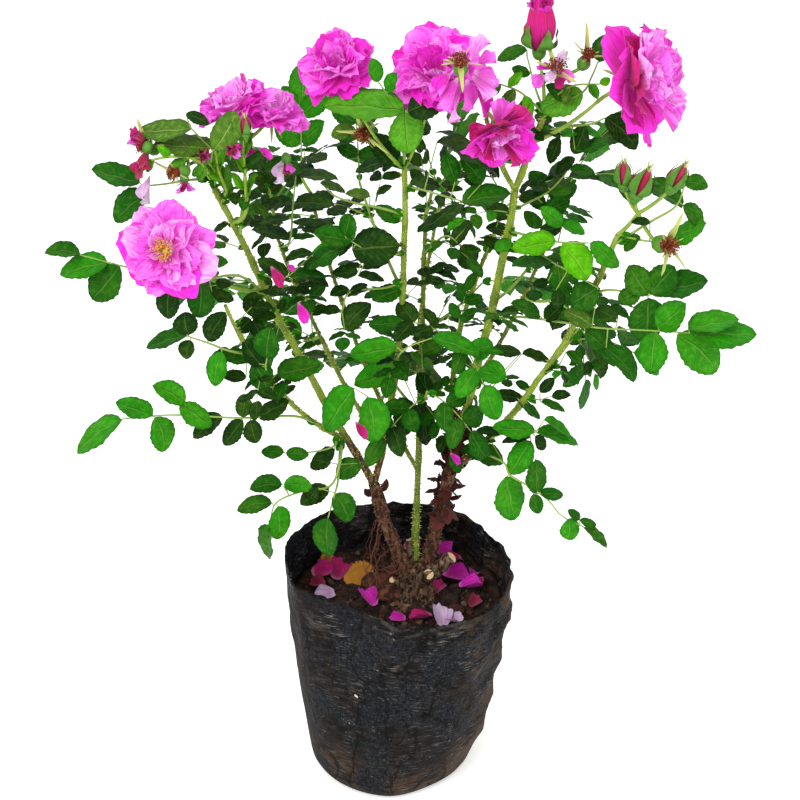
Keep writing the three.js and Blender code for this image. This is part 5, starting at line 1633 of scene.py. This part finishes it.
class Blossom:
    """Petals in one piece, and the small parts of blooms, buds and hips in another."""

    def __init__(self):
        ruffle = sizes("blossom").ruffle
        self.petals, self.small = Joined(), Joined()
        self.broad = [petal_shape(i, ruffle, 0.14, -0.12) for i in range(6)]
        self.curly = [petal_shape(10 + i, ruffle * 2, 0.22, -0.05) for i in range(7)]
        self.loose = [petal_shape(30 + i, ruffle * 1.4, 0.55, 0.3, 0.8, 0.4, 0.02) for i in range(5)]
        self.limp = [petal_shape(20 + i, ruffle * 3.2, 0.5, 0.1, 0.75) for i in range(4)]
        self.bud, self.sepal, self.hair, self.grain = bud_shape(), sepal_shape(), hair_shape(), grain_shape()
        self.ball, self.furl = ball_shape(), furl_shape()
        self.case, self.open_case = case_shape(0), case_shape(0.9)

    def bloom(self, middle, face, radius, form, seed):
        """Rings of petals about the facing."""
        dice = Dice(3000 + seed)
        for ring, (count, reach, tilt, shift, width, paints) in enumerate(FORMS[form]):
            shapes = self.broad if ring == 0 else self.curly
            if form in ("wilted", "spent"):
                shapes = self.limp
            offset = dice.roll()
            for i in range(count):
                radial = around(face, 2 * math.pi * (i + offset + dice.spread(0.28)) / count)
                rise = math.radians(tilt + dice.spread(12))
                way = radial * math.cos(rise) + face * math.sin(rise)
                normal = face * math.cos(rise) - radial * math.sin(rise)
                normal = (normal + way.cross(normal) * dice.spread(0.28)).normalized()
                root = middle - face * (0.34 * radius) + radial * (shift * radius)
                size = radius * reach * dice.between(*((0.6, 1.15) if form == "wilted" else (0.86, 1.08)))
                self.petals.add(dice.pick(shapes), axes(root * MM, way, normal, size * MM, width),
                                dice.pick(paints))

    def stamens(self, middle, face, radius, count, paints, length, seed):
        dice = Dice(5000 + seed)
        for _ in range(count):
            radial = around(face, dice.between(0, 2 * math.pi))
            way = (face + radial * dice.between(0.05, 1.1)).normalized()
            high = length * dice.between(0.7, 1.1)
            root = middle + radial * radius * 0.06
            self.small.add(self.hair, stand(root, way, 0.2, high), paints[0])
            self.small.add(self.grain, stand(root + way * high, way, 0.5, 0.65), paints[dice.roll() < 0.75])

    def sepals(self, middle, face, length, rise, seed, paint_index, offset=0.0, width=1.0):
        dice = Dice(7000 + seed)
        is_dry = paint_index == 3 and rise < 60
        for i in range(5):
            radial = around(face, 2 * math.pi * (i + dice.spread(0.3)) / 5)
            tilt = math.radians(rise + dice.spread(28 if is_dry else 8))
            way = radial * math.cos(tilt) + face * math.sin(tilt)
            normal = face * math.cos(tilt) - radial * math.sin(tilt)
            normal += radial.cross(face) * dice.spread(0.5 * is_dry)
            normal = (normal - way * normal.dot(way)).normalized()
            long = length * (dice.between(0.45, 1.2) if is_dry else dice.between(0.85, 1.15))
            self.small.add(self.sepal, axes((middle + radial * offset) * MM, way, normal, long * MM, width),
                           paint_index)

    def cases(self, shape, base, face, wide, high, paints):
        """Five sepals that cling round a bud."""
        for i in range(5):
            turn = Matrix.Rotation(2 * math.pi * (i + 0.2) / 5, 4, "Z")
            size = high * (0.9, 1.0, 0.94, 1.02, 0.92)[i]
            self.small.add(shape, stand(base, face, wide, size) @ turn, paints[i % len(paints)])

    def head(self, index, kind, form, at, face, radius):
        middle, face = Vector(at), Vector(face).normalized()
        if kind == "bloom":
            self.bloom(middle, face, radius, form, index)
            self.sepals(middle - face * radius * 0.42, face, radius * 0.62, -8, index, 3)
            ovary = middle - face * (radius * 0.5)
            self.small.add(self.ball, stand(ovary, face, 3.6, 4.2), 2)
            if form == "open":
                self.small.add(self.ball, stand(middle - face * 0.2 * radius, face, 2.6, 1.8), 0)
                self.stamens(middle - face * 0.22 * radius, face, radius, 110, (0, 1), radius * 0.27, index)
        elif kind == "bud":
            ovary = middle - face * radius * 1.25
            self.small.add(self.ball, stand(ovary, face, radius * 0.52, radius * 0.6), 2)
            base = middle - face * radius * 0.95
            if form in ("spent", "withered"):
                self.bloom(middle, face, radius * 1.5, "spent" if form == "spent" else "wilted", index)
                self.stamens(base, face, radius * 2, 90, (4, 5), radius * 1.2, index)
                self.sepals(base, face, radius * 2.4, 30, index, 3, 0.0, 1.3)
                return
            if form == "opening":
                for wide, high, paint_index in [(1.3, 3.3, 3), (0.95, 3.25, 2), (0.6, 3.15, 3)]:
                    self.petals.add(self.furl, stand(base, face, radius * wide, radius * high), paint_index)
                first = upright(face)
                for i, (turn, lift) in enumerate([(2.6, 2.15), (3.6, 2.3), (1.4, 2.4), (5.2, 2.35)]):
                    radial = Matrix.Rotation(turn, 3, face) @ first
                    way = (radial * 0.7 + face).normalized()
                    root = base + radial * radius * 0.5 + face * radius * lift
                    self.petals.add(self.curly[i], axes(root * MM, way, -radial, radius * 1.05 * MM, 0.95),
                                    (2, 1, 3, 2)[i])
                foot = base - face * radius * 0.12
                self.cases(self.open_case, foot, face, radius * 2.2, radius * 1.75, (2, 2, 3))
                return
            self.petals.add(self.bud, stand(base, face, radius * 1.85, radius * 2.75), 4)
            self.cases(self.case, base, face, radius * 1.9, radius * 3.0, (2, 2, 3))
            self.sepals(base + face * radius * 2.2, face, radius * 1.3, 78, index + 50, 3, 0.16 * radius, 0.7)
            self.small.add(self.ball, stand(base, face, radius * 0.7, radius * 0.5), 2)
        else:
            self.small.add(self.ball, stand(middle, face, radius * 0.8, radius * 0.9), 2)
            top = middle + face * radius * 0.6
            self.small.add(self.ball, stand(top, face, radius * 0.6, radius * 0.4), 5)
            self.stamens(top, face, radius * 2, 130, (4, 5), radius * 1.15, index)
            self.sepals(top, face, radius * 3.4, 24, index, 3, 0.0, 0.85)
            self.sepals(top, face, radius * 2.0, 40, index + 70, 3, 0.0, 0.7)


def lying(x, y, turn, length, lift):
    """The foot and the way of a petal or leaf that lies on the soil with its middle at x and y."""
    way = Vector((math.cos(math.radians(turn)), math.sin(math.radians(turn)), lift)).normalized()
    return Vector((x, y, soil_height(x, y) + 4.5)) - way * length / 2, way


def build_blossom():
    own = sizes("blossom")
    blossom = Blossom()
    for index, (_, kind, form, at, face, radius) in enumerate(HEADS):
        blossom.head(index, kind, form, at, face, radius)
    for index, (at, face, radius) in enumerate(WITHERED, 100):
        middle, face = Vector(at), Vector(face).normalized()
        blossom.bloom(middle, face, radius, "wilted", index)
        blossom.sepals(middle - face * radius * 0.4, face, radius, 30, index, 2)
        ovary = middle - face * radius * 0.5
        blossom.small.add(blossom.ball, stand(ovary, face, radius * 0.4, radius * 0.5), 2)
    dice = Dice(51)
    for u, v, tip_u, tip_v, width, y, paint_index in HUNG:
        root, tip = seen(u, v, y), seen(tip_u, tip_v, y + dice.spread(6))
        way, normal, length, widen = facing_blade(root, tip, width, PETAL_WIDTH)
        blossom.petals.add(dice.pick(blossom.curly + blossom.limp),
                           axes(root * MM, way, normal, length * MM, widen), paint_index)
    for index, (at, way, length, paint_index) in enumerate(CAUGHT):
        way = Vector(way).normalized()
        blossom.petals.add(blossom.limp[index % 3], axes(Vector(at) * MM, way, Vector((0.1, -0.8, 0.5)),
                                                         length * MM, 0.62), paint_index)
    dice = Dice(42)
    fallen = Joined()
    for x, y, turn, length, paint_index in FALLEN:
        root, way = lying(x, y, turn, length, dice.spread(0.12))
        normal = Vector((dice.spread(0.5), dice.spread(0.4) - 0.3, 1)).normalized()
        petal = dice.pick(blossom.loose)
        fallen.add(petal, axes(root * MM, way, normal, length * MM, dice.between(0.8, 1.05)), paint_index)
    throat = paint("f7dff2")
    crimson, faded = paint("b01044"), paint("dcbfe0")
    shades = [
        ("pale", tuple(own.pale), paint("f6c8ee"), tint(own.pale, 0.4, (1, 0.85, 1)), paint("d234b4")),
        ("pink", tuple(own.pink), throat, tuple(own.pale), paint("c4169a")),
        ("magenta", tuple(own.magenta), tuple(own.pale), tint(own.magenta, 0.45, own.pink), paint("bc067c")),
        ("deep", tuple(own.deep), tint(throat, 0.5, own.deep), tint(own.deep, 0.35, own.magenta),
         paint("8c0448")),
        ("crimson", crimson, tint(crimson, 0.3), tint(crimson, 0.15, (1, 0.5, 0.8)), paint("5c0620")),
        ("faded", faded, paint("f5e8ee"), tint(faded, 0.4, (1, 1, 1)), paint("c98fc2")),
    ]
    finishes = [petal_finish(name + " petal", *colours) for name, *colours in shades]
    # Painted shade: the fallen petals' colours are darkened and their glow nearly dropped, as if they lay in
    # the bush's shade.
    shaded_fallen_finishes = [petal_finish("fallen " + name + " petal", tint(colour, 0.14, (0.1, 0, 0.08)),
                         tint(foot, 0.5, colour), tint(edge, 0.3), tint(line, 0.3), glow=0.02)
            for name, colour, foot, edge, line in shades]
    put_up("petals", blossom.petals.mesh("petals"), finishes)
    put_up("fallen_petals", fallen.mesh("fallen_petals"), shaded_fallen_finishes)
    put_up("bud_hip_parts", blossom.small.mesh("bud_hip_parts"),
           [plain_finish("stamen", "e9c35a", 0.6), plain_finish("pollen", "e0902c", 0.7),
            plain_finish("green hip", "4c8420", 0.5), plain_finish("pale sepal", "b9c06a", 0.6),
            plain_finish("dry stamen", "a85028", 0.8), plain_finish("dry pollen", "6a2a16", 0.85)])

    dead = Joined()
    blades = [leaflet_shape(20 + i, 0.12) for i in range(3)]
    for x, y, turn, length, paint_index in DEAD_LEAVES:
        root, way = lying(x, y, turn, length, 0.1)
        dead.add(dice.pick(blades), axes(root * MM, way, Vector((0.1, -0.4, 1)), length * MM, 1.2),
                 paint_index)
    knots = [("cane_right", 0.5, 1.0, 60), ("cane_left", 0.86, 1.0, 4), ("cane_right_main", 0.0, 0.12, 18)]
    for name, low, high, count in knots:
        for _ in range(count):
            share = dice.between(low, high)
            ahead = CURVES[name].ahead(share)
            out = Matrix.Rotation(dice.between(0, 2 * math.pi), 3, ahead) @ upright(ahead)
            way = (out * dice.between(0.5, 1.2) + ahead * dice.between(-0.5, 1.3)).normalized()
            face = (out + ahead * dice.spread(0.8)).normalized()
            face = (face - way * face.dot(way)).normalized()
            root = CURVES[name].at(share) + out * 3.5
            bract, size = dice.pick(blades), dice.between(9, 17)
            dead.add(bract, axes(root * MM, way, face, size * MM, dice.between(0.8, 1.3)),
                     dice.pick([1, 1, 2]))
    put_up("dead_bracts", dead.mesh("dead_bracts"),
           [plain_finish("orange dead leaf", "b0741f", 0.8), plain_finish("brown bract", "3c1a12", 0.85),
            plain_finish("red bract", "521c14", 0.8)])


# ---------------------------------------------------------------- stage


def build_stage():
    own = sizes("stage")
    scene = bpy.context.scene
    bm = bmesh.new()
    bmesh.ops.create_grid(bm, x_segments=2, y_segments=2, size=12)
    floor = bpy.data.objects.new("floor", mesh_of(bm, "floor", False))
    f = Finish("pale floor", specular=0.1)
    floor.data.materials.append(f.done(tuple(own.floor), 0.9, glow=0.42))
    scene.collection.objects.link(floor)
    world = bpy.data.worlds.new("even light")
    world.use_nodes = True
    world.node_tree.nodes["Background"].inputs[0].default_value = (1, 1, 1, 1)
    world.node_tree.nodes["Background"].inputs[1].default_value = own.sky
    scene.world = world
    aim = Vector((0, 0, 0.35))
    lamps = [("key", (-1.0, -1.7, 1.9), own.key, 1.3), ("fill", (1.6, -1.2, 1.1), own.fill, 1.5),
             ("top", (0.3, 1.0, 2.2), own.fill, 1.6)]
    for name, place, power, width in lamps:
        light = bpy.data.lights.new(name, "AREA")
        light.energy, light.size = power, width
        holder = bpy.data.objects.new(name, light)
        holder.location = place
        holder.rotation_euler = (aim - Vector(place)).to_track_quat("-Z", "Y").to_euler()
        scene.collection.objects.link(holder)
    scene.view_settings.view_transform = "Standard"
    camera = bpy.data.cameras.new("camera")
    camera.sensor_width, camera.lens = SENSOR, SENSOR * CAMERA_REACH / FRAME_SIDE
    holder = bpy.data.objects.new("camera", camera)
    holder.location = metres(CAMERA_AT)
    holder.rotation_euler = (math.radians(CAMERA_TURN), 0, 0)
    scene.collection.objects.link(holder)
    scene.camera = holder


# ---------------------------------------------------------------- operators and panel


class AddStage(bpy.types.Operator):
    """Adds the floor, the soft lights and the camera"""

    bl_idname = "rose.add_stage"
    bl_label = "Stage"

    def execute(self, context):
        build_stage()
        return {"FINISHED"}


class AddBag(bpy.types.Operator):
    """Adds the grow bag with its folds and frayed rim"""

    bl_idname = "rose.add_bag"
    bl_label = "Grow Bag"

    def execute(self, context):
        build_bag()
        return {"FINISHED"}


class AddSoil(bpy.types.Operator):
    """Adds the soil and its crumbs"""

    bl_idname = "rose.add_soil"
    bl_label = "Soil"

    def execute(self, context):
        build_soil()
        return {"FINISHED"}


class AddRootCrown(bpy.types.Operator):
    """Adds the root crown, its pruned stubs and rootlets"""

    bl_idname = "rose.add_root_crown"
    bl_label = "Root Crown"

    def execute(self, context):
        build_root_crown()
        return {"FINISHED"}


class AddCanes(bpy.types.Operator):
    """Adds the ripe and green canes with their prickles"""

    bl_idname = "rose.add_canes"
    bl_label = "Canes"

    def execute(self, context):
        build_canes()
        return {"FINISHED"}


class AddLeaves(bpy.types.Operator):
    """Adds the twigs and leaves of every mass"""

    bl_idname = "rose.add_leaves"
    bl_label = "Leaves"

    def execute(self, context):
        build_leaves()
        return {"FINISHED"}


class AddBlossom(bpy.types.Operator):
    """Adds blooms, buds, hips, fallen petals and dead bracts"""

    bl_idname = "rose.add_blossom"
    bl_label = "Blossom"

    def execute(self, context):
        build_blossom()
        return {"FINISHED"}


OPERATORS = [AddStage, AddBag, AddSoil, AddRootCrown, AddCanes, AddLeaves, AddBlossom]


class RosePanel(bpy.types.Panel):
    """Lists the pieces of the rose bush and their sizes"""

    bl_idname = "VIEW3D_PT_rose_bush"
    bl_label = "Rose Bush"
    bl_space_type = "VIEW_3D"
    bl_region_type = "UI"
    bl_category = "Rose Bush"

    def draw(self, context):
        for operator in OPERATORS:
            self.layout.operator(operator.bl_idname)
        for group, kind in GROUPS.items():
            box = self.layout.box()
            for key in kind.__annotations__:
                box.prop(sizes(group), key)


def register():
    for kind in [*GROUPS.values(), *OPERATORS, RosePanel]:
        bpy.utils.register_class(kind)
    for group, kind in GROUPS.items():
        setattr(bpy.types.Scene, "rose_" + group, bpy.props.PointerProperty(type=kind))


def unregister():
    for group in GROUPS:
        delattr(bpy.types.Scene, "rose_" + group)
    for kind in [RosePanel, *reversed(OPERATORS), *GROUPS.values()]:
        bpy.utils.unregister_class(kind)


def main():
    register()
    bpy.ops.rose.add_stage()
    bpy.ops.rose.add_bag()
    bpy.ops.rose.add_soil()
    bpy.ops.rose.add_root_crown()
    bpy.ops.rose.add_canes()
    bpy.ops.rose.add_leaves()
    bpy.ops.rose.add_blossom()


if __name__ == "__main__":
    main()
